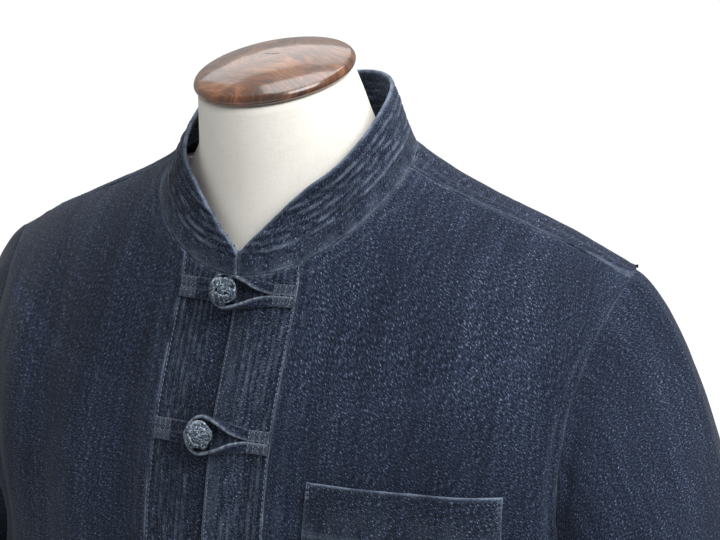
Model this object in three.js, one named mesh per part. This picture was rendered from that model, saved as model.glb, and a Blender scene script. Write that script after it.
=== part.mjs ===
// Denim jacket with a stand collar and knotted frog closures, worn by a limbless dress form.
// Units are millimetres. +X is the wearer's left, -Y is the front and +Z is up.
// The origin is the centre of the stand's underside.
// Heights inside the tables are measured from the nape, the collar seam at the centre back.
import * as THREE from "three";

// Driving sizes
const NAPE_HEIGHT = 857;
const CLOTH = 1.6;
const BAND_CLOTH = 2.0;
const COLLAR_CLOTH = 2.6;
const SEAM_GAP = 0.32;
const BAND_WIDTH = 41;
const OVERLAP_EDGE = 1.5;
const UNDERLAP = 10;
const COLLAR_HEIGHT = 43;
const COLLAR_END_HEIGHT = 15;
const COLLAR_END_LENGTH = 54;
const FROG_COUNT = 7;
const FROG_FIRST_DROP = 10;
const FROG_SPACING = 88;
const KNOT_RADIUS = 9;
const POCKET = { left: 67, width: 111, top: -186, height: 138 };

// Rows run from the neck (row 0) over the shoulder tip and the underarm to the hem (row 1).
const ROW_TIP = 0.2;
const ROW_UNDERARM = 0.4;
const SHOULDER_CELLS = 7;
const ARMHOLE_CELLS = 10;
const SIDE_CELLS = 10;

// Centre lines. reach is the handle of the row's curve at the centre, sweep the one at its side end.
const FRONT_CENTRE = [
  { row: 0, y: -80, z: -76, reach: 46, sweep: 40 },
  { row: 0.05, y: -85, z: -95, reach: 58, sweep: 44 },
  { row: 0.1, y: -93, z: -115, reach: 72, sweep: 54 },
  { row: 0.2, y: -109, z: -153, reach: 100, sweep: 70 },
  { row: 0.24, y: -116, z: -177, reach: 102, sweep: 58 },
  { row: 0.3, y: -124, z: -215, reach: 104, sweep: 52 },
  { row: 0.36, y: -128.5, z: -254, reach: 110, sweep: 62 },
  { row: 0.4, y: -130, z: -280, reach: 146, sweep: 96 },
  { row: 0.5, y: -129, z: -350, reach: 146, sweep: 96 },
  { row: 0.6, y: -127, z: -420, reach: 144, sweep: 94 },
  { row: 0.8, y: -121, z: -570, reach: 142, sweep: 90 },
  { row: 1, y: -119, z: -722, reach: 140, sweep: 88 },
];
const BACK_CENTRE = [
  { row: 0, y: 58, z: 0, reach: 44, sweep: 38 },
  { row: 0.1, y: 70, z: -48, reach: 78, sweep: 46 },
  { row: 0.2, y: 86, z: -98, reach: 118, sweep: 52 },
  { row: 0.3, y: 102, z: -178, reach: 112, sweep: 52 },
  { row: 0.36, y: 106, z: -230, reach: 116, sweep: 60 },
  { row: 0.4, y: 107, z: -266, reach: 144, sweep: 88 },
  { row: 0.5, y: 105, z: -338, reach: 144, sweep: 86 },
  { row: 0.6, y: 102, z: -410, reach: 142, sweep: 84 },
  { row: 0.8, y: 97, z: -568, reach: 140, sweep: 80 },
  { row: 1, y: 96, z: -720, reach: 140, sweep: 80 },
];

// Side ends of the rows. yaw and pitch turn the row where it crosses the seam, from front to back.
// On the shoulder seam the back has a pitch of its own, behind. The side seam's pitch is turned
// over for the back, so both panels hang from the underarm alike.
const SHOULDER_SEAM = [
  { row: 0, x: 86, y: -13, z: -12, yaw: 92, pitch: 30, behind: 30 },
  { row: 0.05, x: 114, y: -11, z: -26, yaw: 84, pitch: 26, behind: 24 },
  { row: 0.1, x: 150, y: -8, z: -40, yaw: 79, pitch: 24, behind: 20 },
  { row: 0.15, x: 188, y: -5, z: -55, yaw: 75, pitch: 26, behind: 17 },
  { row: 0.2, x: 223, y: -2, z: -71, yaw: 72, pitch: 27, behind: 10 },
];
const FRONT_ARMHOLE = [
  { row: 0.2, x: 223, y: -2, z: -71, yaw: 72, pitch: 27 },
  { row: 0.23, x: 214, y: -32, z: -98, yaw: 60, pitch: 21 },
  { row: 0.27, x: 206, y: -60, z: -140, yaw: 46, pitch: 11 },
  { row: 0.31, x: 204, y: -72, z: -190, yaw: 42, pitch: 4 },
  { row: 0.35, x: 206, y: -62, z: -235, yaw: 52, pitch: 14 },
  { row: 0.38, x: 213, y: -32, z: -262, yaw: 72, pitch: 25 },
  { row: 0.4, x: 222, y: 4, z: -270, yaw: 90, pitch: 31 },
];
const BACK_ARMHOLE = [
  { row: 0.2, x: 223, y: -2, z: -71, yaw: 72, pitch: 10 },
  { row: 0.22, x: 222, y: 14, z: -70, yaw: 102, pitch: 4 },
  { row: 0.24, x: 219, y: 32, z: -86, yaw: 122, pitch: -4 },
  { row: 0.27, x: 213, y: 50, z: -130, yaw: 134, pitch: -8 },
  { row: 0.31, x: 208, y: 62, z: -192, yaw: 134, pitch: -4 },
  { row: 0.35, x: 210, y: 56, z: -238, yaw: 123, pitch: -14 },
  { row: 0.38, x: 216, y: 34, z: -262, yaw: 106, pitch: -25 },
  { row: 0.4, x: 222, y: 4, z: -270, yaw: 90, pitch: -31 },
];
const SIDE_SEAM = [
  { row: 0.4, x: 222, y: 4, z: -270, yaw: 90, pitch: 31 },
  { row: 0.5, x: 221, y: 3, z: -342, yaw: 90, pitch: 8 },
  { row: 0.6, x: 219, y: 2, z: -415, yaw: 90, pitch: 0 },
  { row: 0.8, x: 223, y: 0, z: -568, yaw: 90, pitch: 0 },
  { row: 1, x: 229, y: 0, z: -718, yaw: 90, pitch: 0 },
];

// Soft folds: at is the place across the panel (0 centre, 1 side), depth is outward, negative for a trough.
const FRONT_FOLDS = [
  { at: 0.9, drift: -0.04, width: 0.1, depth: 5, start: 0.34, full: 0.5, fade: 0.62 },
  { at: 0.5, drift: 0.04, width: 0.12, depth: 5, start: 0.45, full: 0.95, fade: 1.6 },
  { at: 0.74, drift: 0.03, width: 0.1, depth: -5, start: 0.45, full: 0.95, fade: 1.6 },
];
const BACK_FOLDS = [
  { at: 0.88, drift: -0.05, width: 0.08, depth: 7, start: 0.24, full: 0.36, fade: 0.7 },
  { at: 0.34, drift: 0.03, width: 0.09, depth: 5, start: 0.4, full: 0.95, fade: 1.6 },
  { at: 0.62, drift: -0.02, width: 0.1, depth: -6, start: 0.3, full: 0.95, fade: 1.6 },
];

// Sleeve sections below the cap: centre, half width front to back, half depth inside to outside.
const SLEEVE_RINGS = [
  { along: 0, x: 272, y: -6, z: -304, wide: 82, deep: 35 },
  { along: 0.35, x: 287, y: -14, z: -420, wide: 75, deep: 34 },
  { along: 0.7, x: 296, y: -28, z: -540, wide: 66, deep: 30 },
  { along: 1, x: 302, y: -44, z: -656, wide: 57, deep: 27 },
];
const SLEEVE_CAP_CELLS = 7;
const SLEEVE_TUBE_CELLS = 9;
// The way the sleeve leaves the armhole at its tip, front, underarm and back.
const SLEEVE_LEAVES = [
  { turn: 0, x: 0.92, y: 0, z: -0.39, start: 42, end: 82 },
  { turn: 0.25, x: 0.56, y: -0.3, z: -0.77, start: 42, end: 50 },
  { turn: 0.42, x: 0.8, y: -0.3, z: -0.52, start: 16, end: 24 },
  { turn: 0.5, x: 0.85, y: 0, z: -0.53, start: 12, end: 14 },
  { turn: 0.58, x: 0.8, y: 0.3, z: -0.52, start: 16, end: 24 },
  { turn: 0.75, x: 0.56, y: 0.25, z: -0.79, start: 42, end: 50 },
  { turn: 1, x: 0.92, y: 0, z: -0.39, start: 42, end: 82 },
];

// Dress form: clearance under the cloth, in front or behind and at the sides.
const FORM_CLEARANCE = [
  { row: 0.03, middle: 4, side: 1.8 },
  { row: 0.1, middle: 3, side: 0.9 },
  { row: 0.15, middle: 3, side: 1 },
  { row: 0.2, middle: 3, side: 4 },
  { row: 0.24, middle: 3.4, side: 7 },
  { row: 0.3, middle: 4, side: 8 },
  { row: 0.4, middle: 6, side: 44 },
  { row: 0.6, middle: 26, side: 64 },
  { row: 0.85, middle: 16, side: 46 },
  { row: 1, middle: 20, side: 50 },
];
const FORM_ROWS = [
  0.03, 0.065, 0.1, 0.15, 0.2, 0.25, 0.3, 0.35, 0.4, 0.47, 0.55, 0.63, 0.71, 0.79, 0.87, 0.94, 1,
];
const FORM_FRONT_CELLS = 6;
const FORM_PLATE_CELLS = 4;
const FORM_SIDE_END = 0.97;
const FORM_BOTTOM = [
  { z: -735, scale: 0.985 },
  { z: -745, scale: 0.93 },
];
// Neck sections: dip lowers the ring's front, lift raises its back, and bend rounds the dip.
const NECK_RINGS = [
  { z: -14, dip: 58, lift: 8, half: 74, front: -72, back: 49, bend: 1.4 },
  { z: -4, dip: 52, lift: 10, half: 65, front: -68, back: 42, bend: 1.4 },
  { z: 10, dip: 38, lift: 14, half: 57, front: -68, back: 37, bend: 1.3 },
  { z: 26, dip: 24, lift: 16, half: 52, front: -74, back: 31, bend: 1.1 },
  { z: 41, dip: 16.2, lift: 16.2, half: 48, front: -79, back: 23, bend: 1 },
];
const CAP = { y: -28, z: 41, tilt: 17.6, halfWidth: 50, halfLength: 56, rim: 9, dome: 15 };
const STEM = { radius: 17, gap: 0.3 };
const BASE = { radius: 160, thickness: 8, hubRadius: 34, hubHeight: 26, sides: 36 };

const lerp = (a, b, k) => a + (b - a) * k;
const clamp = (v, low, high) => Math.min(high, Math.max(low, v));
const smooth = (low, high, v) => {
  const k = clamp((v - low) / (high - low), 0, 1);
  return k * k * (3 - 2 * k);
};
const radians = THREE.MathUtils.degToRad;
const vector = (x, y, z) => new THREE.Vector3(x, y, z);
const steps = (low, high, cells) => Array.from({ length: cells + 1 }, (_, i) => lerp(low, high, i / cells));

// Reads every column of a table at a place along its first column, on a smooth curve through the rows.
function readTable(table, key, place) {
  let i = 0;
  while (i < table.length - 2 && place > table[i + 1][key]) i++;
  const [a, b] = [table[i], table[i + 1]];
  const before = table[Math.max(0, i - 1)];
  const after = table[Math.min(table.length - 1, i + 2)];
  const span = b[key] - a[key];
  const k = clamp((place - a[key]) / span, 0, 1);
  const out = {};
  for (const column of Object.keys(a)) {
    const slopeA = ((b[column] - before[column]) / (b[key] - before[key])) * span;
    const slopeB = ((after[column] - a[column]) / (after[key] - a[key])) * span;
    const [k2, k3] = [k * k, k * k * k];
    out[column] =
      (2 * k3 - 3 * k2 + 1) * a[column] +
      (k3 - 2 * k2 + k) * slopeA +
      (3 * k2 - 2 * k3) * b[column] +
      (k3 - k2) * slopeB;
  }
  return out;
}

// The side end of a row, with the direction in which the row crosses the seam.
function sideEnd(row, back) {
  let table = SIDE_SEAM;
  if (row <= ROW_TIP) table = SHOULDER_SEAM;
  else if (row <= ROW_UNDERARM) table = back ? BACK_ARMHOLE : FRONT_ARMHOLE;
  const r = readTable(table, "row", row);
  let slope = r.pitch;
  if (back && row <= ROW_TIP) slope = r.behind;
  if (back && row > ROW_UNDERARM) slope = -r.pitch;
  const [yaw, pitch] = [radians(r.yaw), radians(slope)];
  const cross = vector(Math.cos(yaw), Math.sin(yaw), Math.tan(pitch));
  return { point: vector(r.x, r.y, r.z), cross };
}

function bezier(a, b, c, d, k) {
  const m = 1 - k;
  return vector(0, 0, 0)
    .addScaledVector(a, m * m * m)
    .addScaledVector(b, 3 * m * m * k)
    .addScaledVector(c, 3 * m * k * k)
    .addScaledVector(d, k * k * k);
}

// A point of the smooth cloth, left half: across 0 is the centre line and 1 the side end of the row.
function rowPoint(across, row, back) {
  const c = readTable(back ? BACK_CENTRE : FRONT_CENTRE, "row", row);
  const { point, cross } = sideEnd(row, back);
  const centre = vector(0, c.y, c.z);
  const centreHandle = vector(c.reach, c.y, c.z);
  const sideHandle = point.clone().addScaledVector(cross, back ? c.sweep : -c.sweep);
  return bezier(centre, centreHandle, sideHandle, point, across);
}

const STEP = 1e-3;
function smoothNormal(across, row, back) {
  const [a0, a1] = [Math.max(0, across - STEP), Math.min(1, across + STEP)];
  // Differences stay on one side of the corners at the shoulder tip and the underarm.
  let [r0, r1] = [row - STEP, row + STEP];
  for (const corner of [ROW_TIP, ROW_UNDERARM, 1]) {
    if (row > corner && r0 < corner) r0 = corner;
    if (row <= corner && r1 > corner) r1 = corner;
  }
  if (row <= 0) [r0, r1] = [0, STEP];
  const alongRow = rowPoint(a1, row, back).sub(rowPoint(a0, row, back));
  const downRow = rowPoint(across, r1, back).sub(rowPoint(across, r0, back));
  const n = back ? alongRow.cross(downRow) : downRow.cross(alongRow);
  return n.normalize();
}

// Where two panels meet in a seam, both walls take the middle of their normals.
const MITRE_FROM = 0.98;
function wallNormal(across, row, back) {
  const seam = row <= ROW_TIP || row >= ROW_UNDERARM;
  if (!seam || across < MITRE_FROM) return smoothNormal(across, row, back);
  return smoothNormal(1, row, false).add(smoothNormal(1, row, true)).normalize();
}

function foldHeight(across, row, back) {
  let height = 0;
  for (const f of back ? BACK_FOLDS : FRONT_FOLDS) {
    const strength = smooth(f.start, f.full, row) * (1 - smooth(f.fade, f.fade + 0.25, row));
    const away = (across - f.at - f.drift * (row - f.start)) / f.width;
    height += f.depth * strength * Math.exp(-away * away);
  }
  const seamFade = smooth(0, 0.06, 1 - across) * smooth(0.04, 0.2, across);
  return height * seamFade;
}

// A point of the cloth and its outward normal, at an offset. across < 0 is the wearer's right.
function cloth(across, row, back, offset = 0) {
  const side = across < 0 ? -1 : 1;
  const a = Math.abs(across);
  const normal = wallNormal(a, row, back);
  const point = rowPoint(a, row, back).addScaledVector(normal, foldHeight(a, row, back) + offset);
  point.x *= side;
  normal.x *= side;
  return { point, normal };
}

// The place across a front row where it is x from the centre line.
function acrossAt(x, row) {
  let [low, high] = [0, 1];
  for (let i = 0; i < 30; i++) {
    const middle = (low + high) / 2;
    if (rowPoint(middle, row, false).x < Math.abs(x)) low = middle;
    else high = middle;
  }
  return Math.sign(x) * low;
}

// The front cloth at x and at a height z.
function frontAt(x, z, offset) {
  let [low, high] = [0, 1];
  for (let i = 0; i < 26; i++) {
    const middle = (low + high) / 2;
    if (rowPoint(Math.abs(acrossAt(x, middle)), middle, false).z > z) low = middle;
    else high = middle;
  }
  return cloth(acrossAt(x, low), low, false, offset);
}

// The height on the centre front line at a length of cloth below the collar seam.
function centreHeight(length) {
  let run = 0;
  let here = rowPoint(0, 0, false);
  for (let row = 0.005; row < 1; row += 0.005) {
    const next = rowPoint(0, row, false);
    const piece = next.distanceTo(here);
    if (run + piece >= length) return lerp(here.z, next.z, (length - run) / piece);
    run += piece;
    here = next;
  }
  return here.z;
}

// A closed wall between an outer grid of {point, normal} and the same grid moved inward.
function wall(grid, thickness, around = false) {
  const rows = grid.length;
  const columns = grid[0].length;
  const positions = [];
  for (const inner of [0, 1])
    for (const line of grid)
      for (const { point, normal } of line)
        positions.push(...point.clone().addScaledVector(normal, -inner * thickness).toArray());
  const at = (inner, i, j) => (inner * rows + i) * columns + (j % columns);
  const faces = [];
  const quad = (a, b, c, d) => faces.push(a, b, c, a, c, d);
  const lastColumn = around ? columns : columns - 1;
  for (let i = 0; i < rows - 1; i++)
    for (let j = 0; j < lastColumn; j++) {
      quad(at(0, i, j), at(0, i + 1, j), at(0, i + 1, j + 1), at(0, i, j + 1));
      quad(at(1, i, j), at(1, i, j + 1), at(1, i + 1, j + 1), at(1, i + 1, j));
    }
  for (let j = 0; j < lastColumn; j++) {
    quad(at(0, 0, j), at(0, 0, j + 1), at(1, 0, j + 1), at(1, 0, j));
    quad(at(0, rows - 1, j + 1), at(0, rows - 1, j), at(1, rows - 1, j), at(1, rows - 1, j + 1));
  }
  if (!around)
    for (let i = 0; i < rows - 1; i++) {
      quad(at(0, i + 1, 0), at(0, i, 0), at(1, i, 0), at(1, i + 1, 0));
      const last = columns - 1;
      quad(at(0, i, last), at(0, i + 1, last), at(1, i + 1, last), at(1, i, last));
    }
  return solid(positions, faces);
}

function solid(positions, faces) {
  const geometry = new THREE.BufferGeometry();
  geometry.setAttribute("position", new THREE.Float32BufferAttribute(positions, 3));
  geometry.setIndex(faces);
  geometry.computeVertexNormals();
  return geometry;
}

// A closed body through rings of points, from the lowest ring to the highest.
function loft(rings) {
  const count = rings[0].length;
  const positions = [];
  for (const ring of rings) for (const p of ring) positions.push(p.x, p.y, p.z);
  const faces = [];
  for (let i = 0; i < rings.length - 1; i++)
    for (let j = 0; j < count; j++) {
      const k = (j + 1) % count;
      const [a, b, c, d] = [i * count + j, i * count + k, (i + 1) * count + k, (i + 1) * count + j];
      faces.push(a, b, c, a, c, d);
    }
  [rings[0], rings[rings.length - 1]].forEach((ring, top) => {
    const middle = ring.reduce((sum, p) => sum.add(p), vector(0, 0, 0)).divideScalar(count);
    const hub = positions.length / 3;
    positions.push(middle.x, middle.y, middle.z);
    const start = top ? (rings.length - 1) * count : 0;
    for (let j = 0; j < count; j++) {
      const [a, b] = [start + j, start + ((j + 1) % count)];
      if (top) faces.push(hub, a, b);
      else faces.push(hub, b, a);
    }
  });
  return solid(positions, faces);
}

const mirrored = (grid) =>
  grid.map((line) =>
    line
      .map(({ point, normal }) => ({
        point: vector(-point.x, point.y, point.z),
        normal: vector(-normal.x, normal.y, normal.z),
      }))
      .reverse(),
  );

const zoneRows = [
  ...steps(0, ROW_TIP, SHOULDER_CELLS),
  ...steps(ROW_TIP, ROW_UNDERARM, ARMHOLE_CELLS).slice(1),
  ...steps(ROW_UNDERARM, 1, SIDE_CELLS).slice(1),
];

// Front body of the left side, from the band's seam to the side. Columns run from the centre outward.
const BODY_CELLS = 13;
function frontBody() {
  return zoneRows.map((row) => {
    const first = acrossAt(BAND_WIDTH + SEAM_GAP, row);
    const last = 1 - SEAM_GAP / 2 / rowLength(row, false);
    return steps(first, last, BODY_CELLS).map((across) => cloth(across, row, false));
  });
}

function rowLength(row, back) {
  return rowPoint(1, row, back).distanceTo(rowPoint(0.9, row, back)) * 10;
}

const BACK_CELLS = 11;
// Above 1, the back's columns stand closer together toward the shoulder's ridge and the sides.
const BACK_CROWDING = 1.5;
function backBody() {
  return zoneRows.map((row) => {
    const last = 1 - SEAM_GAP / 2 / rowLength(row, true);
    const places = steps(0, 1, BACK_CELLS).map((k) => last * (1 - Math.pow(1 - k, BACK_CROWDING)));
    const half = places.map((across) => cloth(across, row, true));
    const other = places.slice(1).map((across) => cloth(-across, row, true));
    return [...half.reverse(), ...other];
  });
}

// Front bands. The wearer's left band lies over the right one, lifted by the right band's thickness.
const LIFT_FROM = 26;
const LIFT_TO = 12;
const BAND_LIFT = BAND_CLOTH + 0.5;
const LEFT_BAND_COLUMNS = [OVERLAP_EDGE, LIFT_TO, LIFT_FROM, BAND_WIDTH];
const RIGHT_BAND_COLUMNS = steps(-BAND_WIDTH, UNDERLAP, 4);
const bandLift = (x) => BAND_LIFT * clamp((LIFT_FROM - x) / (LIFT_FROM - LIFT_TO), 0, 1);
function band(columns, lifted) {
  return zoneRows.map((row) =>
    columns.map((x) => {
      const lift = lifted ? bandLift(x) : 0;
      return cloth(acrossAt(x, row) || 0, row, false, lift);
    }),
  );
}

// Neckline from the front centre round the left side to the back centre, as {point, along}.
function neckline() {
  const front = [
    ...steps(0.2, BAND_WIDTH, 5).map((x) => acrossAt(x, 0)),
    ...steps(acrossAt(BAND_WIDTH, 0), 1, BODY_CELLS).slice(1),
  ].map((across) => rowPoint(across, 0, false));
  const back = steps(1, 0, 10).slice(1).map((across) => rowPoint(across, 0, true));
  return [...front, ...back];
}

// Collar lean: share of the height by which the top stands in toward the neck.
const COLLAR_LEAN = [
  { turn: 0, inward: 0.1, back: 0.12 },
  { turn: 0.25, inward: 0.22, back: 0.12 },
  { turn: 0.5, inward: 0.44, back: 0.04 },
  { turn: 0.8, inward: 0.4, back: -0.1 },
  { turn: 1, inward: 0.1, back: -0.26 },
];
// The wearer's right side of the collar leans in further.
const RIGHT_EXTRA_LEAN = 0.16;
const COLLAR_ROWS = 4;
function collarHalf(extraLean) {
  const line = neckline();
  const lengths = [0];
  for (let i = 1; i < line.length; i++) lengths.push(lengths[i - 1] + line[i].distanceTo(line[i - 1]));
  const total = lengths[lengths.length - 1];
  return line.map((base, i) => {
    const turn = lengths[i] / total;
    const lean = readTable(COLLAR_LEAN, "turn", turn);
    const flat = vector(base.x, base.y + 8, 0).normalize();
    const inward = lean.inward + extraLean * Math.sin(Math.PI * turn);
    const up = vector(-flat.x * inward, lean.back, 1).normalize();
    const left = clamp(1 - lengths[i] / COLLAR_END_LENGTH, 0, 1);
    const height = lerp(COLLAR_HEIGHT, COLLAR_END_HEIGHT, Math.pow(left, 1.7));
    const before = line[Math.max(0, i - 1)];
    const after = line[Math.min(line.length - 1, i + 1)];
    let along = after.clone().sub(before);
    if (i === 0) along = vector(1, 0, 0);
    if (i === line.length - 1) along = vector(-1, 0, 0);
    const normal = along.normalize().cross(up).normalize();
    return { base, up, height, normal };
  });
}

function collar() {
  const left = collarHalf(0);
  const right = collarHalf(RIGHT_EXTRA_LEAN)
    .slice(0, -1)
    .reverse()
    .map(({ base, up, height, normal }) => ({
      base: vector(-base.x, base.y, base.z),
      up: vector(-up.x, up.y, up.z),
      height,
      normal: vector(-normal.x, normal.y, normal.z),
    }));
  const columns = [...left, ...right];
  return steps(1, 0, COLLAR_ROWS).map((level) =>
    columns.map(({ base, up, height, normal }) => ({
      point: base.clone().addScaledVector(up, SEAM_GAP + level * (height - SEAM_GAP)),
      normal,
    })),
  );
}

// Armhole ring of the left side, from the tip down the front, under the arm and up the back.
function armholeRing() {
  const down = steps(ROW_TIP, ROW_UNDERARM, ARMHOLE_CELLS);
  const front = down.map((row) => ({ row, back: false }));
  const back = down.slice(1, -1).reverse().map((row) => ({ row, back: true }));
  const ring = [...front, ...back].map(({ row, back: isBack }) => {
    const { point, cross } = sideEnd(row, isBack);
    return { point, outward: isBack ? cross.clone().negate() : cross };
  });
  const lengths = [0];
  ring.forEach((r, i) => lengths.push(lengths[i] + r.point.distanceTo(ring[(i + 1) % ring.length].point)));
  const underarm = lengths[ARMHOLE_CELLS];
  const all = lengths[ring.length];
  ring.forEach((r, i) => {
    if (i <= ARMHOLE_CELLS) r.turn = (0.5 * lengths[i]) / underarm;
    else r.turn = 0.5 + (0.5 * (lengths[i] - underarm)) / (all - underarm);
  });
  return ring;
}

function sleeveRing(along) {
  const here = readTable(SLEEVE_RINGS, "along", along);
  const [before, after] = [Math.max(0, along - 0.02), Math.min(1, along + 0.02)];
  const a = readTable(SLEEVE_RINGS, "along", before);
  const b = readTable(SLEEVE_RINGS, "along", after);
  const axis = vector(b.x - a.x, b.y - a.y, b.z - a.z).normalize();
  const front = vector(0, -1, 0).addScaledVector(axis, axis.y).normalize();
  const outward = front.clone().cross(axis).normalize();
  const point = (turn) => {
    const angle = Math.PI / 2 - turn * 2 * Math.PI;
    return vector(here.x, here.y, here.z)
      .addScaledVector(front, here.wide * Math.cos(angle))
      .addScaledVector(outward, here.deep * Math.sin(angle));
  };
  return { axis, point };
}

// Creases of the hanging sleeve, as waves of the wall that deepen at the elbow.
const SLEEVE_FOLDS = [
  { turn: 0.18, along: 0.02, length: 0.16, width: 0.05, depth: -5 },
  { turn: 0.3, along: 0.35, length: 0.1, width: 0.09, depth: -5 },
  { turn: 0.2, along: 0.5, length: 0.08, width: 0.1, depth: -4 },
  { turn: 0.78, along: 0.42, length: 0.1, width: 0.09, depth: -5 },
  { turn: 0.05, along: 0.62, length: 0.14, width: 0.08, depth: -3 },
];
function sleeveFold(turn, along) {
  let height = 0;
  for (const f of SLEEVE_FOLDS) {
    const across = (turn - f.turn) / f.width;
    const down = (along - f.along) / f.length;
    height += f.depth * Math.exp(-across * across - down * down);
  }
  return height;
}

function sleeve() {
  const ring = armholeRing();
  const biceps = sleeveRing(0);
  const grid = [];
  for (const k of steps(0, 1, SLEEVE_CAP_CELLS)) {
    grid.push(
      ring.map(({ point, turn }) => {
        const leave = readTable(SLEEVE_LEAVES, "turn", turn);
        const way = vector(leave.x, leave.y, leave.z).normalize();
        const start = point.clone().addScaledVector(way, SEAM_GAP + 0.1);
        const end = biceps.point(turn);
        return bezier(
          start,
          start.clone().addScaledVector(way, leave.start),
          end.clone().addScaledVector(biceps.axis, -leave.end),
          end,
          k,
        );
      }),
    );
  }
  for (const along of steps(0, 1, SLEEVE_TUBE_CELLS).slice(1)) {
    const section = sleeveRing(along);
    grid.push(ring.map(({ turn }) => section.point(turn)));
  }
  const count = ring.length;
  const withNormals = grid.map((line, i) =>
    line.map((point, j) => {
      const above = grid[Math.max(0, i - 1)][j];
      const below = grid[Math.min(grid.length - 1, i + 1)][j];
      const next = line[(j + 1) % count];
      const before = line[(j + count - 1) % count];
      const normal = below.clone().sub(above).cross(before.clone().sub(next)).normalize();
      if (i === 0) {
        // The inner edge stays on the sleeve's side of the seam.
        const over = Math.max(0, normal.dot(ring[j].outward));
        normal.addScaledVector(ring[j].outward, -over).normalize();
      }
      return { point, normal };
    }),
  );
  return withNormals.map((line, i) =>
    line.map(({ point, normal }, j) => {
      const along = (i - SLEEVE_CAP_CELLS) / SLEEVE_TUBE_CELLS;
      const height = i === 0 ? 0 : sleeveFold(ring[j].turn, along);
      return { point: point.clone().addScaledVector(normal, height), normal };
    }).reverse(),
  );
}

// Patch pocket on the wearer's left chest. Its middle stands a little off the cloth.
const POCKET_GAP = 0.6;
const POCKET_PUFF = 1.4;
const POCKET_COLUMNS = 8;
const POCKET_ROWS = 8;
function pocket() {
  return steps(0, 1, POCKET_ROWS).map((down) =>
    steps(POCKET.left, POCKET.left + POCKET.width, POCKET_COLUMNS).map((x) => {
      const across = (x - POCKET.left) / POCKET.width;
      const puff = 4 * across * (1 - across) * (1 - down * down * down);
      const off = CLOTH + POCKET_GAP + POCKET_PUFF * puff;
      return frontAt(x, POCKET.top - down * POCKET.height, off);
    }),
  );
}

// A tape of rectangular section along a path of {x, z, off, flat} in the frog's own plane.
// flat is 1 where the tape lies on the cloth and 0 where it stands on edge.
const TAPE = { width: 6.4, thickness: 2.2 };
function tape(path, height) {
  const rings = path.map((p, i) => {
    const before = path[Math.max(0, i - 1)];
    const after = path[Math.min(path.length - 1, i + 1)];
    const [dx, dz] = [after.x - before.x, after.z - before.z];
    const length = Math.hypot(dx, dz);
    const [sx, sz] = [-dz / length, dx / length];
    const tip = (1 - p.flat) * (Math.PI / 2);
    const corner = (wide, thick) => {
      const sideways = wide * Math.cos(tip) - thick * Math.sin(tip);
      const outward = wide * Math.sin(tip) + thick * Math.cos(tip);
      return frontAt(p.x + sx * sideways, height + p.z + sz * sideways, p.off + outward).point;
    };
    const [w, t] = [TAPE.width / 2, TAPE.thickness / 2];
    return [corner(-w, -t), corner(w, -t), corner(w, t), corner(-w, t)];
  });
  return loft(rings);
}

const FROG_END = 40;
const PAIR = TAPE.width / 2 + 0.25;
const KNOT = { x: -1.5, z: 0, off: BAND_LIFT + KNOT_RADIUS + 0.3 };
function loopPath() {
  const turnRadius = KNOT_RADIUS + TAPE.thickness / 2 + 0.3;
  const upper = [
    { x: FROG_END, z: PAIR, flat: 1 },
    { x: 26, z: PAIR, flat: 1 },
    { x: 18, z: PAIR + 1.6, flat: 0.75 },
    { x: 12, z: PAIR + 3.8, flat: 0.35 },
  ];
  const bend = steps(65, 295, 8).map((angle) => ({
    x: KNOT.x + turnRadius * Math.cos(radians(angle)),
    z: KNOT.z + turnRadius * Math.sin(radians(angle)),
    flat: 0,
  }));
  const lower = upper.map(({ x, z, flat }) => ({ x, z: -z, flat })).reverse();
  return [...upper, ...bend, ...lower].map((p) => {
    const tip = (1 - p.flat) * (Math.PI / 2);
    const below = (TAPE.width / 2) * Math.sin(tip) + (TAPE.thickness / 2) * Math.cos(tip);
    return { ...p, off: bandLift(p.x) + SEAM_GAP + below };
  });
}

// The knot's own tail, two tapes side by side from the far seam to under the knot.
const TAIL = { from: -FROG_END, to: OVERLAP_EDGE - 0.7, height: 2 * PAIR + TAPE.width };
const TAIL_COLUMNS = 4;
function tail(height) {
  return [0.5, 0, -0.5].map((level) =>
    steps(TAIL.from, TAIL.to, TAIL_COLUMNS).map((x) =>
      frontAt(x, height + level * TAIL.height, SEAM_GAP + TAPE.thickness),
    ),
  );
}

// The knot's radius swells and dips where its strands cross.
const knotLump = (u, v) => 1 + (0.05 * Math.cos(4 * u + 5 * v) + 0.04 * Math.cos(4 * u - 5 * v)) * Math.sin(v);
function knot(height) {
  const { point, normal } = frontAt(KNOT.x, height + KNOT.z, KNOT.off);
  const [columns, rows] = [12, 7];
  const side = vector(1, 0, 0).addScaledVector(normal, -normal.x).normalize();
  const up = normal.clone().cross(side).normalize();
  const rings = [];
  for (let i = 1; i < rows; i++) {
    const v = (Math.PI * i) / rows;
    rings.push(
      Array.from({ length: columns }, (_, j) => {
        const u = (2 * Math.PI * j) / columns;
        const r = KNOT_RADIUS * 0.96 * knotLump(u, v);
        return point
          .clone()
          .addScaledVector(side, r * Math.sin(v) * Math.cos(u))
          .addScaledVector(up, r * Math.sin(v) * Math.sin(u))
          .addScaledVector(normal, -r * Math.cos(v));
      }),
    );
  }
  return loft(rings);
}

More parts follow.
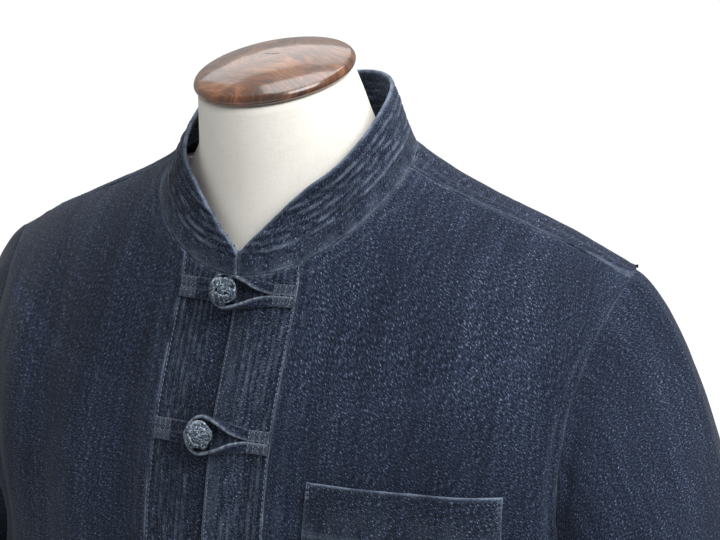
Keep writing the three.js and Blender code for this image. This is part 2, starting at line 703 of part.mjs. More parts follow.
// Form: offset rings under the cloth, with a rounded plate where an arm would be.
function formRing(row) {
  const clear = readTable(FORM_CLEARANCE, "row", row);
  const at = (across, back) => {
    const depth = CLOTH + lerp(clear.middle, clear.side, across * across);
    const normal = wallNormal(across, row, back);
    return rowPoint(across, row, back).addScaledVector(normal, -depth);
  };
  const front = steps(0, FORM_SIDE_END, FORM_FRONT_CELLS).map((across) => at(across, false));
  const back = steps(FORM_SIDE_END, 0, FORM_FRONT_CELLS).map((across) => at(across, true));
  const [a, d] = [front[front.length - 1], back[0]];
  const wayIn = a.clone().sub(front[front.length - 2]).normalize();
  const wayOut = d.clone().sub(back[1]).normalize();
  const handle = a.distanceTo(d) * 0.36 * smooth(ROW_TIP, ROW_TIP + 0.05, row);
  const b = a.clone().addScaledVector(wayIn, handle);
  const c = d.clone().addScaledVector(wayOut, handle);
  const under = [at(1, false).lerp(at(1, true), 0.5)];
  const ends = [at(lerp(FORM_SIDE_END, 1, 0.5), false), at(lerp(FORM_SIDE_END, 1, 0.5), true)];
  const hugging = [ends[0], ...under, ends[1]];
  const open = smooth(ROW_TIP - 0.05, ROW_TIP, row);
  const plate = hugging.map((p, i) => p.lerp(bezier(a, b, c, d, (i + 1) / FORM_PLATE_CELLS), open));
  const half = [...front, ...plate, ...back];
  const other = half.slice(1, -1).map((p) => vector(-p.x, p.y, p.z)).reverse();
  return [...half, ...other];
}

function neckRing(ring, like) {
  const count = like.length;
  return like.map((_, i) => {
    const angle = (2 * Math.PI * i) / count;
    const [c, s] = [Math.cos(angle), Math.sin(angle)];
    const middle = (ring.front + ring.back) / 2;
    const reach = (ring.back - ring.front) / 2;
    const z = c > 0 ? ring.z - ring.dip * Math.pow(c, ring.bend) : ring.z + ring.lift * -c;
    return vector(ring.half * s, middle - reach * c, z);
  });
}

function formBody() {
  const torso = FORM_ROWS.map(formRing);
  const hem = torso[torso.length - 1];
  const centre = hem.reduce((sum, p) => sum.add(p), vector(0, 0, 0)).divideScalar(hem.length);
  const foot = FORM_BOTTOM.map(({ z, scale }) =>
    hem.map((p) => vector(p.x * scale, lerp(centre.y, p.y, scale), z)),
  ).reverse();
  const neck = NECK_RINGS.map((ring) => neckRing(ring, hem));
  return loft([...foot, ...torso.reverse(), ...neck]);
}

// A body turned about the vertical from a profile of [radius, height].
function turned(profile, sides) {
  const body = new THREE.LatheGeometry(
    profile.map(([x, y]) => new THREE.Vector2(x, y)),
    sides,
  );
  body.rotateX(Math.PI / 2);
  return body;
}

// Wooden neck cap: a turned button, stretched to an oval.
function capBody() {
  const half = CAP.halfWidth;
  const profile = [
    [0, 0],
    [half * 0.9, 0],
    [half * 0.98, CAP.rim * 0.2],
    [half, CAP.rim * 0.5],
    [half * 0.97, CAP.rim * 0.82],
    [half * 0.8, CAP.rim * 1.15],
    [half * 0.5, CAP.dome * 0.92],
    [half * 0.2, CAP.dome],
    [0, CAP.dome],
  ];
  const cap = turned(profile, 32);
  cap.scale(1, CAP.halfLength / CAP.halfWidth, 1);
  return cap;
}

function baseBody() {
  return turned(
    [
      [0, 0],
      [BASE.radius, 0],
      [BASE.radius, BASE.thickness - 2],
      [BASE.radius - 2, BASE.thickness],
      [0, BASE.thickness],
    ],
    BASE.sides,
  );
}

function hubBody() {
  const foot = BASE.thickness + SEAM_GAP;
  return turned(
    [
      [0, foot],
      [BASE.hubRadius, foot],
      [BASE.hubRadius, foot + 4],
      [BASE.hubRadius - 6, BASE.hubHeight],
      [0, BASE.hubHeight],
    ],
    24,
  );
}

const FINISHES = {
  denim: { color: 0x28334a, roughness: 0.9, metalness: 0 },
  denimDark: { color: 0x222b3e, roughness: 0.9, metalness: 0 },
  linen: { color: 0xe9e4d8, roughness: 0.85, metalness: 0 },
  wood: { color: 0x6b3d26, roughness: 0.3, metalness: 0 },
  steel: { color: 0x9a9b9d, roughness: 0.35, metalness: 0.9 },
};
const jacketOnForm = new THREE.Group();
const raised = new THREE.Group();
raised.position.z = NAPE_HEIGHT;
jacketOnForm.add(raised);
function add(name, geometry, finish, parent = raised) {
  const mesh = new THREE.Mesh(geometry, new THREE.MeshStandardMaterial(FINISHES[finish]));
  mesh.name = name;
  parent.add(mesh);
  return mesh;
}

const leftFront = frontBody();
add("front_left", wall(leftFront, CLOTH), "denim");
add("front_right", wall(mirrored(leftFront), CLOTH), "denim");
add("back", wall(backBody(), CLOTH), "denim");
add("band_left", wall(band(LEFT_BAND_COLUMNS, true), BAND_CLOTH), "denimDark");
add("band_right", wall(band(RIGHT_BAND_COLUMNS, false), BAND_CLOTH), "denimDark");
add("collar", wall(collar(), COLLAR_CLOTH), "denimDark");
const leftSleeve = sleeve();
add("sleeve_left", wall(leftSleeve, CLOTH, true), "denim");
add("sleeve_right", wall(mirrored(leftSleeve), CLOTH, true), "denim");
add("pocket", wall(pocket(), CLOTH), "denimDark");
for (let i = 0; i < FROG_COUNT; i++) {
  const height = centreHeight(FROG_FIRST_DROP + i * FROG_SPACING);
  add(`frog_${i + 1}_tail`, wall(tail(height), TAPE.thickness), "denimDark");
  add(`frog_${i + 1}_loop`, tape(loopPath(), height), "denimDark");
  add(`frog_${i + 1}_knot`, knot(height), "denimDark");
}

add("form_body", formBody(), "linen");
const cap = add("form_cap", capBody(), "wood");
cap.position.set(0, CAP.y, CAP.z + SEAM_GAP + 0.3);
cap.rotation.x = radians(CAP.tilt);
const stemBottom = BASE.hubHeight + STEM.gap;
const stemTop = NAPE_HEIGHT + FORM_BOTTOM[1].z - STEM.gap;
const rod = new THREE.CylinderGeometry(STEM.radius, STEM.radius, stemTop - stemBottom, 24);
const stem = add("form_stem", rod, "steel", jacketOnForm);
stem.rotation.x = Math.PI / 2;
stem.position.z = (stemTop + stemBottom) / 2;
add("form_hub", hubBody(), "steel", jacketOnForm);
add("form_base", baseBody(), "steel", jacketOnForm);

export default jacketOnForm;
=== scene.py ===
# Denim jacket with a stand collar and knotted frog closures, on a limbless dress form.
# Lengths are millimetres measured from the nape until a mesh is made, and metres in the scene.
# +X is the wearer's left, -Y is the front and +Z is up.
import math

import bpy
import numpy as np
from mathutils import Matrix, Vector


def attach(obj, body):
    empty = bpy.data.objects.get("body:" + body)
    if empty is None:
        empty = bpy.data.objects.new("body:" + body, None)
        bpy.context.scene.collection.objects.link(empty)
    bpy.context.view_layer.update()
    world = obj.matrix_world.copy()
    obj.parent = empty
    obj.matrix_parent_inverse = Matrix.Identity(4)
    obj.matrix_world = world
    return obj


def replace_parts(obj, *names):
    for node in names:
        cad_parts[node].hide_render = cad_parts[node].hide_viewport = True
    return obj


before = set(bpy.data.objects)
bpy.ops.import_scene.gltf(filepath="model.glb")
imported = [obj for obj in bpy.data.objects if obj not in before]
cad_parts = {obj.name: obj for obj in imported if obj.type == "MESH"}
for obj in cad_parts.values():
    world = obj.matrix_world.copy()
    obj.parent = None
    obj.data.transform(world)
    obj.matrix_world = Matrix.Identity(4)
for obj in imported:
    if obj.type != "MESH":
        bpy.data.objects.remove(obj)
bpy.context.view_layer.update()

MM = 0.001
NAPE_HEIGHT = 857
ROW_TIP = 0.2
ROW_UNDERARM = 0.4
CLOTH = 1.6
BAND_CLOTH = 2.0
COLLAR_CLOTH = 2.6
SEAM_GAP = 0.32
SEAM_LAP = 0.12
BAND_WIDTH = 41
OVERLAP_EDGE = 1.5
UNDERLAP = 10
COLLAR_HEIGHT = 43
COLLAR_END_HEIGHT = 15
COLLAR_END_LENGTH = 54
FROG_COUNT = 7
FROG_FIRST_DROP = 10
FROG_SPACING = 88
KNOT_RADIUS = 9
POCKET_LEFT = 67
POCKET_WIDTH = 111
POCKET_TOP = -186
POCKET_HEIGHT = 138
HEM_DEPTH = 22

# Camera
VIEW_TARGET = (44.56, 0, -82.5)
VIEW_AZIMUTH = 26.07
VIEW_ELEVATION = 10.80
VIEW_DISTANCE = 938.5
LENS = 72.85


def place_camera():
    azimuth = math.radians(VIEW_AZIMUTH)
    elevation = math.radians(VIEW_ELEVATION)
    back = Vector(
        (
            math.sin(azimuth) * math.cos(elevation),
            -math.cos(azimuth) * math.cos(elevation),
            math.sin(elevation),
        )
    )
    target = Vector(VIEW_TARGET) + Vector((0, 0, NAPE_HEIGHT))
    data = bpy.data.cameras.new("camera")
    data.lens = LENS
    data.sensor_width = 36
    data.clip_start = 0.01
    camera = bpy.data.objects.new("camera", data)
    camera.location = (target + back * VIEW_DISTANCE) * MM
    camera.rotation_euler = (-back).to_track_quat("-Z", "Y").to_euler()
    bpy.context.scene.collection.objects.link(camera)
    bpy.context.scene.camera = camera


place_camera()

# Centre lines: row, y, z, reach of the row's curve at the centre, sweep at its side end
FRONT_CENTRE = [
    (0, -80, -76, 46, 40),
    (0.05, -85, -95, 58, 44),
    (0.1, -93, -115, 72, 54),
    (0.2, -109, -153, 100, 70),
    (0.24, -116, -177, 102, 58),
    (0.3, -124, -215, 104, 52),
    (0.36, -128.5, -254, 110, 62),
    (0.4, -130, -280, 146, 96),
    (0.5, -129, -350, 146, 96),
    (0.6, -127, -420, 144, 94),
    (0.8, -121, -570, 142, 90),
    (1, -119, -722, 140, 88),
]
BACK_CENTRE = [
    (0, 58, 0, 44, 38),
    (0.1, 70, -48, 78, 46),
    (0.2, 86, -98, 118, 52),
    (0.3, 102, -178, 112, 52),
    (0.36, 106, -230, 116, 60),
    (0.4, 107, -266, 144, 88),
    (0.5, 105, -338, 144, 86),
    (0.6, 102, -410, 142, 84),
    (0.8, 97, -568, 140, 80),
    (1, 96, -720, 140, 80),
]
# Side ends: row, x, y, z, yaw, pitch, and the back's own pitch
SHOULDER_SEAM = [
    (0, 86, -13, -12, 92, 30, 30),
    (0.05, 114, -11, -26, 84, 26, 24),
    (0.1, 150, -8, -40, 79, 24, 20),
    (0.15, 188, -5, -55, 75, 26, 17),
    (0.2, 223, -2, -71, 72, 27, 10),
]
FRONT_ARMHOLE = [
    (0.2, 223, -2, -71, 72, 27, 27),
    (0.23, 214, -32, -98, 60, 21, 21),
    (0.27, 206, -60, -140, 46, 11, 11),
    (0.31, 204, -72, -190, 42, 4, 4),
    (0.35, 206, -62, -235, 52, 14, 14),
    (0.38, 213, -32, -262, 72, 25, 25),
    (0.4, 222, 4, -270, 90, 31, 31),
]
BACK_ARMHOLE = [
    (0.2, 223, -2, -71, 72, 10, 10),
    (0.22, 222, 14, -70, 102, 4, 4),
    (0.24, 219, 32, -86, 122, -4, -4),
    (0.27, 213, 50, -130, 134, -8, -8),
    (0.31, 208, 62, -192, 134, -4, -4),
    (0.35, 210, 56, -238, 123, -14, -14),
    (0.38, 216, 34, -262, 106, -25, -25),
    (0.4, 222, 4, -270, 90, -31, -31),
]
SIDE_SEAM = [
    (0.4, 222, 4, -270, 90, 31, -31),
    (0.5, 221, 3, -342, 90, 8, -8),
    (0.6, 219, 2, -415, 90, 0, 0),
    (0.8, 223, 0, -568, 90, 0, 0),
    (1, 229, 0, -718, 90, 0, 0),
]
# Main folds: place across, drift, width, depth, and the rows where each starts, is full and fades
FRONT_FOLDS = [
    (0.9, -0.04, 0.1, 5, 0.34, 0.5, 0.62),
    (0.5, 0.04, 0.12, 5, 0.45, 0.95, 1.6),
    (0.74, 0.03, 0.1, -5, 0.45, 0.95, 1.6),
]
BACK_FOLDS = [
    (0.88, -0.05, 0.08, 7, 0.24, 0.36, 0.7),
    (0.34, 0.03, 0.09, 5, 0.4, 0.95, 1.6),
    (0.62, -0.02, 0.1, -6, 0.3, 0.95, 1.6),
]
# Soft drapes: x, z where it is strongest, lean, half width, half length, height
FRONT_DRAPES = [
    (60, -200, 0.05, 9, 80, -2.2),
    (96, -170, 0.10, 14, 70, 1.7),
    (128, -215, 0.06, 12, 80, -1.9),
    (158, -180, 0.12, 14, 70, 1.8),
    (182, -240, 0.10, 11, 60, -3.0),
    (196, -205, 0.12, 8, 60, 2.6),
    (75, -420, -0.04, 16, 110, 2.0),
    (120, -560, 0.05, 18, 140, -3.0),
    (165, -480, 0.05, 15, 120, 2.4),
    (60, -640, 0.02, 16, 90, -2.0),
]
BACK_DRAPES = [
    (40, -240, 0.04, 14, 110, 1.6),
    (85, -330, -0.05, 16, 130, -2.2),
    (140, -200, 0.15, 14, 80, 1.8),
    (165, -300, 0.12, 13, 110, -2.6),
    (60, -560, 0.02, 18, 130, 2.2),
    (120, -600, 0.02, 17, 110, -2.6),
    (10, -430, 0.02, 14, 160, -1.6),
]


def smooth(low, high, v):
    k = np.clip((v - low) / (high - low), 0, 1)
    return k * k * (3 - 2 * k)


def unit(v):
    return v / np.maximum(np.linalg.norm(v, axis=-1, keepdims=True), 1e-9)


def join(*parts):
    return np.stack(np.broadcast_arrays(*parts), axis=-1).astype(float)


def read_table(table, place):
    """Every column of a table at places along its first one, on a smooth curve through the rows."""
    rows = np.array(table, float)
    place = np.asarray(place, float)
    last = len(rows) - 1
    i = np.clip(np.searchsorted(rows[:, 0], place, side="left") - 1, 0, last - 1)
    before, a, b, after = (rows[np.clip(i + d, 0, last)] for d in (-1, 0, 1, 2))
    span = (b - a)[..., :1]
    k = np.clip((place[..., None] - a[..., :1]) / span, 0, 1)
    slope_a = (b - before) / (b - before)[..., :1] * span
    slope_b = (after - a) / (after - a)[..., :1] * span
    k2, k3 = k * k, k * k * k
    return (2 * k3 - 3 * k2 + 1) * a + (k3 - 2 * k2 + k) * slope_a + (3 * k2 - 2 * k3) * b + (k3 - k2) * slope_b


def side_end(row, back):
    """The side end of a row, and the direction in which the row crosses the seam."""
    row = np.asarray(row, float)
    shoulder = read_table(SHOULDER_SEAM, row)
    armhole = read_table(BACK_ARMHOLE if back else FRONT_ARMHOLE, row)
    side = read_table(SIDE_SEAM, row)
    r = np.where((row <= ROW_TIP)[..., None], shoulder, np.where((row > ROW_UNDERARM)[..., None], side, armhole))
    yaw = np.radians(r[..., 4])
    pitch = np.radians(r[..., 6] if back else r[..., 5])
    return r[..., 1:4], join(np.cos(yaw), np.sin(yaw), np.tan(pitch))


def bezier(a, b, c, d, k):
    m = 1 - k
    return a * m**3 + b * 3 * m * m * k + c * 3 * m * k * k + d * k**3


def row_point(across, row, back):
    """A point of the smooth cloth, left half: across 0 is the centre line, 1 the side end of the row."""
    across, row = np.broadcast_arrays(np.asarray(across, float), np.asarray(row, float))
    c = read_table(BACK_CENTRE if back else FRONT_CENTRE, row)
    point, cross = side_end(row, back)
    centre = join(np.zeros_like(row), c[..., 1], c[..., 2])
    handle = join(c[..., 3], c[..., 1], c[..., 2])
    side_handle = point + cross * (c[..., 4:5] if back else -c[..., 4:5])
    return bezier(centre, handle, side_handle, point, across[..., None])


STEP = 1e-3


def smooth_normal(across, row, back):
    across, row = np.broadcast_arrays(np.asarray(across, float), np.asarray(row, float))
    a0, a1 = np.clip(across - STEP, 0, 1), np.clip(across + STEP, 0, 1)
    r0, r1 = row - STEP, row + STEP
    # Differences stay on one side of the corners at the shoulder tip and the underarm.
    for corner in (ROW_TIP, ROW_UNDERARM, 1):
        r0 = np.where((row > corner) & (r0 < corner), corner, r0)
        r1 = np.where((row <= corner) & (r1 > corner), corner, r1)
    r0 = np.where(row <= 0, 0, r0)
    along = row_point(a1, row, back) - row_point(a0, row, back)
    down = row_point(across, r1, back) - row_point(across, r0, back)
    return unit(np.cross(along, down) if back else np.cross(down, along))


def seam_normal(across, row, back):
    """The panel's normal, turned to the middle of both panels' normals at a seam."""
    own = smooth_normal(across, row, back)
    row = np.broadcast_to(row, own.shape[:-1])
    middle = unit(smooth_normal(1, row, False) + smooth_normal(1, row, True))
    in_seam = (row <= ROW_TIP) | (row >= ROW_UNDERARM)
    share = (smooth(0.93, 0.99, np.broadcast_to(across, row.shape)) * in_seam)[..., None]
    return unit(own * (1 - share) + middle * share)


def fold_height(across, row, back):
    height = 0
    for at, drift, width, depth, start, full, fade in BACK_FOLDS if back else FRONT_FOLDS:
        strength = smooth(start, full, row) * (1 - smooth(fade, fade + 0.25, row))
        away = (across - at - drift * (row - start)) / width
        height = height + depth * strength * np.exp(-away * away)
    return height * smooth(0, 0.06, 1 - across) * smooth(0.04, 0.2, across)


def cloth(across, row, back, offset=0):
    """Points of the folded cloth of either half, at an offset. across below 0 is the wearer's right."""
    side = np.where(np.asarray(across) < 0, -1.0, 1.0)
    a = np.abs(across)
    normal = seam_normal(a, row, back)
    height = fold_height(a, row, back) + offset
    point = row_point(a, row, back) + normal * np.asarray(height)[..., None]
    turn = join(side, np.ones_like(side), np.ones_like(side))
    return point * turn, normal * turn


def across_at(x, row):
    """The place across a front row where it is x from the centre line."""
    x, row = np.broadcast_arrays(np.asarray(x, float), np.asarray(row, float))
    low, high = np.zeros(x.shape), np.ones(x.shape)
    for _ in range(24):
        middle = (low + high) / 2
        short = row_point(middle, row, False)[..., 0] < np.abs(x)
        low = np.where(short, middle, low)
        high = np.where(short, high, middle)
    return np.where(x < 0, -1.0, 1.0) * np.where(np.abs(x) < 1e-6, 0, low)


def front_at(x, z, offset):
    """The front cloth at x and at a height z."""
    x, z, offset = (v.astype(float) for v in np.broadcast_arrays(x, z, offset))
    row_steps = np.linspace(0, 1, 400)
    centre_z = row_point(0, row_steps, False)[:, 2]
    row = np.clip(np.interp(-z, -centre_z, row_steps), STEP, 1)
    a = np.abs(x) / 225
    for _ in range(10):
        p = row_point(a, row, False)
        by_a = (row_point(a + STEP, row, False) - p) / STEP
        by_row = (row_point(a, row - STEP, False) - p) / -STEP
        need_x, need_z = np.abs(x) - p[..., 0], z - p[..., 2]
        det = by_a[..., 0] * by_row[..., 2] - by_row[..., 0] * by_a[..., 2]
        a = np.clip(a + (need_x * by_row[..., 2] - by_row[..., 0] * need_z) / det, 0, 1)
        row = np.clip(row + (by_a[..., 0] * need_z - need_x * by_a[..., 2]) / det, STEP, 1)
    return cloth(np.where(x < 0, -a, a), row, False, offset)


def centre_height(length):
    """The height on the centre front line at a length of cloth below the collar seam."""
    line = row_point(0, np.linspace(0, 1, 400), False)
    run = np.concatenate([[0], np.cumsum(np.linalg.norm(np.diff(line, axis=0), axis=1))])
    return float(np.interp(length, run, line[:, 2]))


def noise(u, v, seed):
    """Smooth noise from -1 to 1 on a unit lattice."""
    table = np.random.default_rng(seed).uniform(-1, 1, (64, 64))
    iu, iv = np.floor(u).astype(int), np.floor(v).astype(int)
    fu, fv = u - iu, v - iv
    fu, fv = fu * fu * (3 - 2 * fu), fv * fv * (3 - 2 * fv)
    a, b = table[iu % 64, iv % 64], table[(iu + 1) % 64, iv % 64]
    c, d = table[iu % 64, (iv + 1) % 64], table[(iu + 1) % 64, (iv + 1) % 64]
    return (a * (1 - fu) + b * fu) * (1 - fv) + (c * (1 - fu) + d * fu) * fv


def stepped(length, cell, lip):
    """Places from 0 to 1 along a length: even cells, with finer ones over the rounded lips."""
    inner = np.linspace(lip * 1.6, length - lip * 1.6, max(2, round(length / cell)))
    edge = np.array([0, 0.25, 0.6, 1.05]) * lip
    return np.concatenate([edge, inner, length - edge[::-1]]) / length


def run_lengths(points, axis, closed=False):
    steps = np.linalg.norm(np.diff(points, axis=axis), axis=-1)
    zero = np.zeros_like(np.take(steps, [0], axis=axis))
    return np.concatenate([zero, np.cumsum(steps, axis=axis)], axis=axis)


def grid_normals(points, around=False):
    down = np.gradient(points, axis=0)
    if around:
        along = np.roll(points, -1, axis=1) - np.roll(points, 1, axis=1)
    else:
        along = np.gradient(points, axis=1)
    return unit(np.cross(down, along))


def edge_lengths(points, around=False):
    """Distances of each point from the grid's top, bottom, first and last lines."""
    down = run_lengths(points, 0)
    out = {"top": down, "bottom": down[-1:] - down}
    if not around:
        across = run_lengths(points, 1)
        out["first"] = across
        out["last"] = across[:, -1:] - across
    return out


def set_uv(mesh, corners):
    layer = mesh.uv_layers.new(name="cloth")
    layer.data.foreach_set("uv", np.ascontiguousarray(corners, np.float32).ravel())


def set_value(mesh, name, values):
    attribute = mesh.attributes.new(name, "FLOAT", "POINT")
    attribute.data.foreach_set("value", np.ascontiguousarray(values, np.float32).ravel())


def new_object(name, points, faces, material):
    """A piece in the scene, from points in millimetres from the nape."""
    mesh = bpy.data.meshes.new(name)
    metres = (np.asarray(points, float) + np.array([0, 0, NAPE_HEIGHT])) * MM
    mesh.from_pydata(metres.tolist(), [], np.asarray(faces).tolist())
    mesh.polygons.foreach_set("use_smooth", np.ones(len(mesh.polygons), bool))
    mesh.materials.append(material)
    obj = bpy.data.objects.new(name, mesh)
    bpy.context.scene.collection.objects.link(obj)
    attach(obj, "root")
    return obj


def quads(rows, columns, start=0, wrap=False, flip=False):
    """Faces of a grid of points, outward where the rows run down and the columns to the left."""
    i, j = np.meshgrid(np.arange(rows - 1), np.arange(columns if wrap else columns - 1), indexing="ij")
    k = (j + 1) % columns
    faces = np.stack([i * columns + j, (i + 1) * columns + j, (i + 1) * columns + k, i * columns + k], axis=-1)
    faces = faces.reshape(-1, 4) + start
    return faces[:, ::-1] if flip else faces


def shell(name, points, thickness, material, uv, worn=0, around=False, normals=None):
    """A thin closed shell under a grid of points, with rounded lips along its edges."""
    rows, columns = points.shape[:2]
    normals = grid_normals(points, around) if normals is None else normals
    half = thickness / 2
    edges = edge_lengths(points, around)
    away = np.minimum.reduce(list(edges.values()))
    k = np.clip(away / half, 0.1, 1)
    tuck = (half * (1 - np.sqrt(1 - (1 - k) ** 2)))[..., None]
    outer = points - normals * tuck
    inner = points - normals * (thickness - tuck)
    count = rows * columns
    wide = columns if around else columns - 1
    outside = quads(rows, columns, 0, around)
    inside = quads(rows, columns, count, around, flip=True)
    j = np.arange(wide)
    n = (j + 1) % columns
    base = (rows - 1) * columns
    rims = [
        np.stack([j, n, n + count, j + count], axis=-1),
        np.stack([base + n, base + j, base + j + count, base + n + count], axis=-1),
    ]
    if not around:
        i = np.arange(rows - 1) * columns
        last = i + columns - 1
        rims.append(np.stack([i + columns, i, i + count, i + columns + count], axis=-1))
        rims.append(np.stack([last, last + columns, last + columns + count, last + count], axis=-1))
    faces = np.concatenate([outside, inside, *rims])
    obj = new_object(name, np.concatenate([outer.reshape(-1, 3), inner.reshape(-1, 3)]), faces, material)
    flat = uv.reshape(rows, -1, 2)
    wide_uv = flat if flat.shape[1] > columns else np.concatenate([flat, flat[:, -1:]], axis=1)
    point_uv = np.concatenate([flat[:, :columns].reshape(-1, 2)] * 2)
    corners = point_uv[faces.reshape(-1)].reshape(-1, 4, 2)
    if around:
        # The last column's faces end at the cloth's far edge, not back at its first one.
        for start, order in ((0, (2, 3)), (len(outside), (0, 1))):
            rows_of = np.arange(rows - 1) * columns + columns - 1 + start
            lower, upper = wide_uv[1:, columns], wide_uv[:-1, columns]
            pair = (lower, upper) if start == 0 else (upper, lower)
            for corner, value in zip(order, pair):
                corners[rows_of, corner] = value
    set_uv(obj.data, corners * MM)
    set_value(obj.data, "worn", np.concatenate([np.broadcast_to(worn, (rows, columns)).reshape(-1)] * 2))
    obj["grid"] = name
    return obj


# Stitches
STITCH = {"length": 2.3, "gap": 0.9, "width": 0.62, "height": 0.42}
stitch_sets = {}


def bead():
    """One stitch: a low bead, longer than wide, as points in (along, side, up) and faces."""
    rings = [(-0.5, 0.4), (0, 0.95), (0.5, 0.4)]
    sides = 4
    points = []
    for along, size in rings:
        for k in range(sides):
            angle = math.pi * k / (sides - 1)
            points.append((along, 0.5 * size * math.cos(angle), size * math.sin(angle) - 0.25))
    faces = [(3, 2, 1, 0)]
    for start in (0, sides):
        for k in range(sides):
            a, b = start + k, start + (k + 1) % sides
            faces.append((a, b, b + sides, a + sides))
    faces.append((8, 9, 10, 11))
    return np.array(points), faces


def place_along(line, normals, distances):
    run = run_lengths(line, 0)
    point = np.stack([np.interp(distances, run, line[:, c]) for c in range(3)], axis=-1)
    ahead = np.stack([np.interp(distances + 0.4, run, line[:, c]) for c in range(3)], axis=-1)
    behind = np.stack([np.interp(distances - 0.4, run, line[:, c]) for c in range(3)], axis=-1)
    normal = np.stack([np.interp(distances, run, normals[:, c]) for c in range(3)], axis=-1)
    return point, unit(ahead - behind), unit(normal)


def stitch_line(group, line, normals, scale=1.0, start=1.5, end=1.5):
    """Adds a row of stitches along a line on the cloth to a named set."""
    total = run_lengths(line, 0)[-1]
    pitch = (STITCH["length"] + STITCH["gap"]) * scale
    count = int((total - start - end) / pitch)
    if count < 1:
        return
    distances = start + (np.arange(count) + 0.5) * (total - start - end) / count
    point, along, normal = place_along(line, normals, distances)
    side = unit(np.cross(normal, along))
    shape, faces = bead()
    size = np.array([STITCH["length"], STITCH["width"], STITCH["height"]]) * scale
    local = shape * size
    placed = (
        point[:, None]
        + along[:, None] * local[None, :, :1]
        + side[:, None] * local[None, :, 1:2]
        + normal[:, None] * local[None, :, 2:]
    )
    stitch_sets.setdefault(group, []).append((placed, faces))


def inset_line(points, edge, distance):
    """The line on a grid at a distance from one of its edges, with normals."""
    normals = grid_normals(points)
    if edge in ("top", "bottom"):
        points, normals = points.transpose(1, 0, 2), normals.transpose(1, 0, 2)
    if edge in ("last", "bottom"):
        points, normals = points[:, ::-1], normals[:, ::-1]
    run = run_lengths(points, 1)
    line = np.array([[np.interp(distance, r, p[:, c]) for c in range(3)] for r, p in zip(run, points)])
    outward = np.array([[np.interp(distance, r, p[:, c]) for c in range(3)] for r, p in zip(run, normals)])
    return line, outward


def sew(group, points, edge, distance, scale=1.0, part=(0, 1)):
    line, normals = inset_line(points, edge, distance)
    first, last = (round(p * (len(line) - 1)) for p in part)
    stitch_line(group, line[first : last + 1], normals[first : last + 1], scale)


def make_stitches(group, material):
    """One object of all the stitches in a set."""
    points, faces, start = [], [], 0
    for placed, shape in stitch_sets[group]:
        beads, count = placed.shape[:2]
        shifts = (np.arange(beads) * count + start)[:, None, None]
        faces.append((np.array(shape)[None] + shifts).reshape(-1, 4))
        points.append(placed.reshape(-1, 3))
        start += beads * count
    return new_object(f"stitches_{group}", np.concatenate(points), np.concatenate(faces), material)


# Materials
def srgb(r, g, b):
    """A colour from 0 to 255 values, in linear light."""
    def linear(v):
        v /= 255
        return v / 12.92 if v <= 0.04045 else ((v + 0.055) / 1.055) ** 2.4

    return (linear(r), linear(g), linear(b), 1)


def node(tree, kind, inputs=None, **values):
    made = tree.nodes.new(kind)
    for key, value in values.items():
        setattr(made, key, value)
    for key, value in (inputs or {}).items():
        if hasattr(value, "bl_idname") or isinstance(value, bpy.types.NodeSocket):
            tree.links.new(value, made.inputs[key])
        else:
            made.inputs[key].default_value = value
    return made


def material(name, **surface):
    made = bpy.data.materials.new(name)
    made.use_nodes = True
    tree = made.node_tree
    shader = tree.nodes["Principled BSDF"]
    for key, value in surface.items():
        shader.inputs[key.replace("_", " ")].default_value = value
    return made, tree, shader


def ramp(tree, fac, stops):
    made = node(tree, "ShaderNodeValToRGB", {"Fac": fac})
    elements = made.color_ramp.elements
    while len(elements) < len(stops):
        elements.new(0.5)
    for element, (place, colour) in zip(elements, stops):
        element.position = place
        element.color = colour
    return made.outputs["Color"]


def maths(tree, operation, a, b=0.0, clamp=False):
    made = node(tree, "ShaderNodeMath", {0: a, 1: b}, operation=operation, use_clamp=clamp)
    return made.outputs[0]


def mixed(tree, fac, a, b):
    made = node(tree, "ShaderNodeMix", {"Factor": fac}, data_type="RGBA")
    for socket, value in ((6, a), (7, b)):
        if isinstance(value, bpy.types.NodeSocket):
            tree.links.new(value, made.inputs[socket])
        else:
            made.inputs[socket].default_value = value
    return made.outputs[2]


def stretched_noise(tree, coordinate, across, along, turn=0.0, detail=2.0, rough=0.6, seed=0.0):
    """Noise with cells of the given width and length in metres, turned by an angle."""
    turned = node(
        tree,
        "ShaderNodeMapping",
        {"Vector": coordinate, "Rotation": (0, 0, math.radians(turn))},
        vector_type="POINT",
    )
    scaled = node(
        tree,
        "ShaderNodeMapping",
        {"Vector": turned.outputs[0], "Scale": (1 / across, 1 / along, 1), "Location": (seed, seed * 1.7, seed)},
    )
    made = node(
        tree,
        "ShaderNodeTexNoise",
        {"Vector": scaled.outputs[0], "Scale": 1.0, "Detail": detail, "Roughness": rough},
    )
    return made.outputs["Fac"]


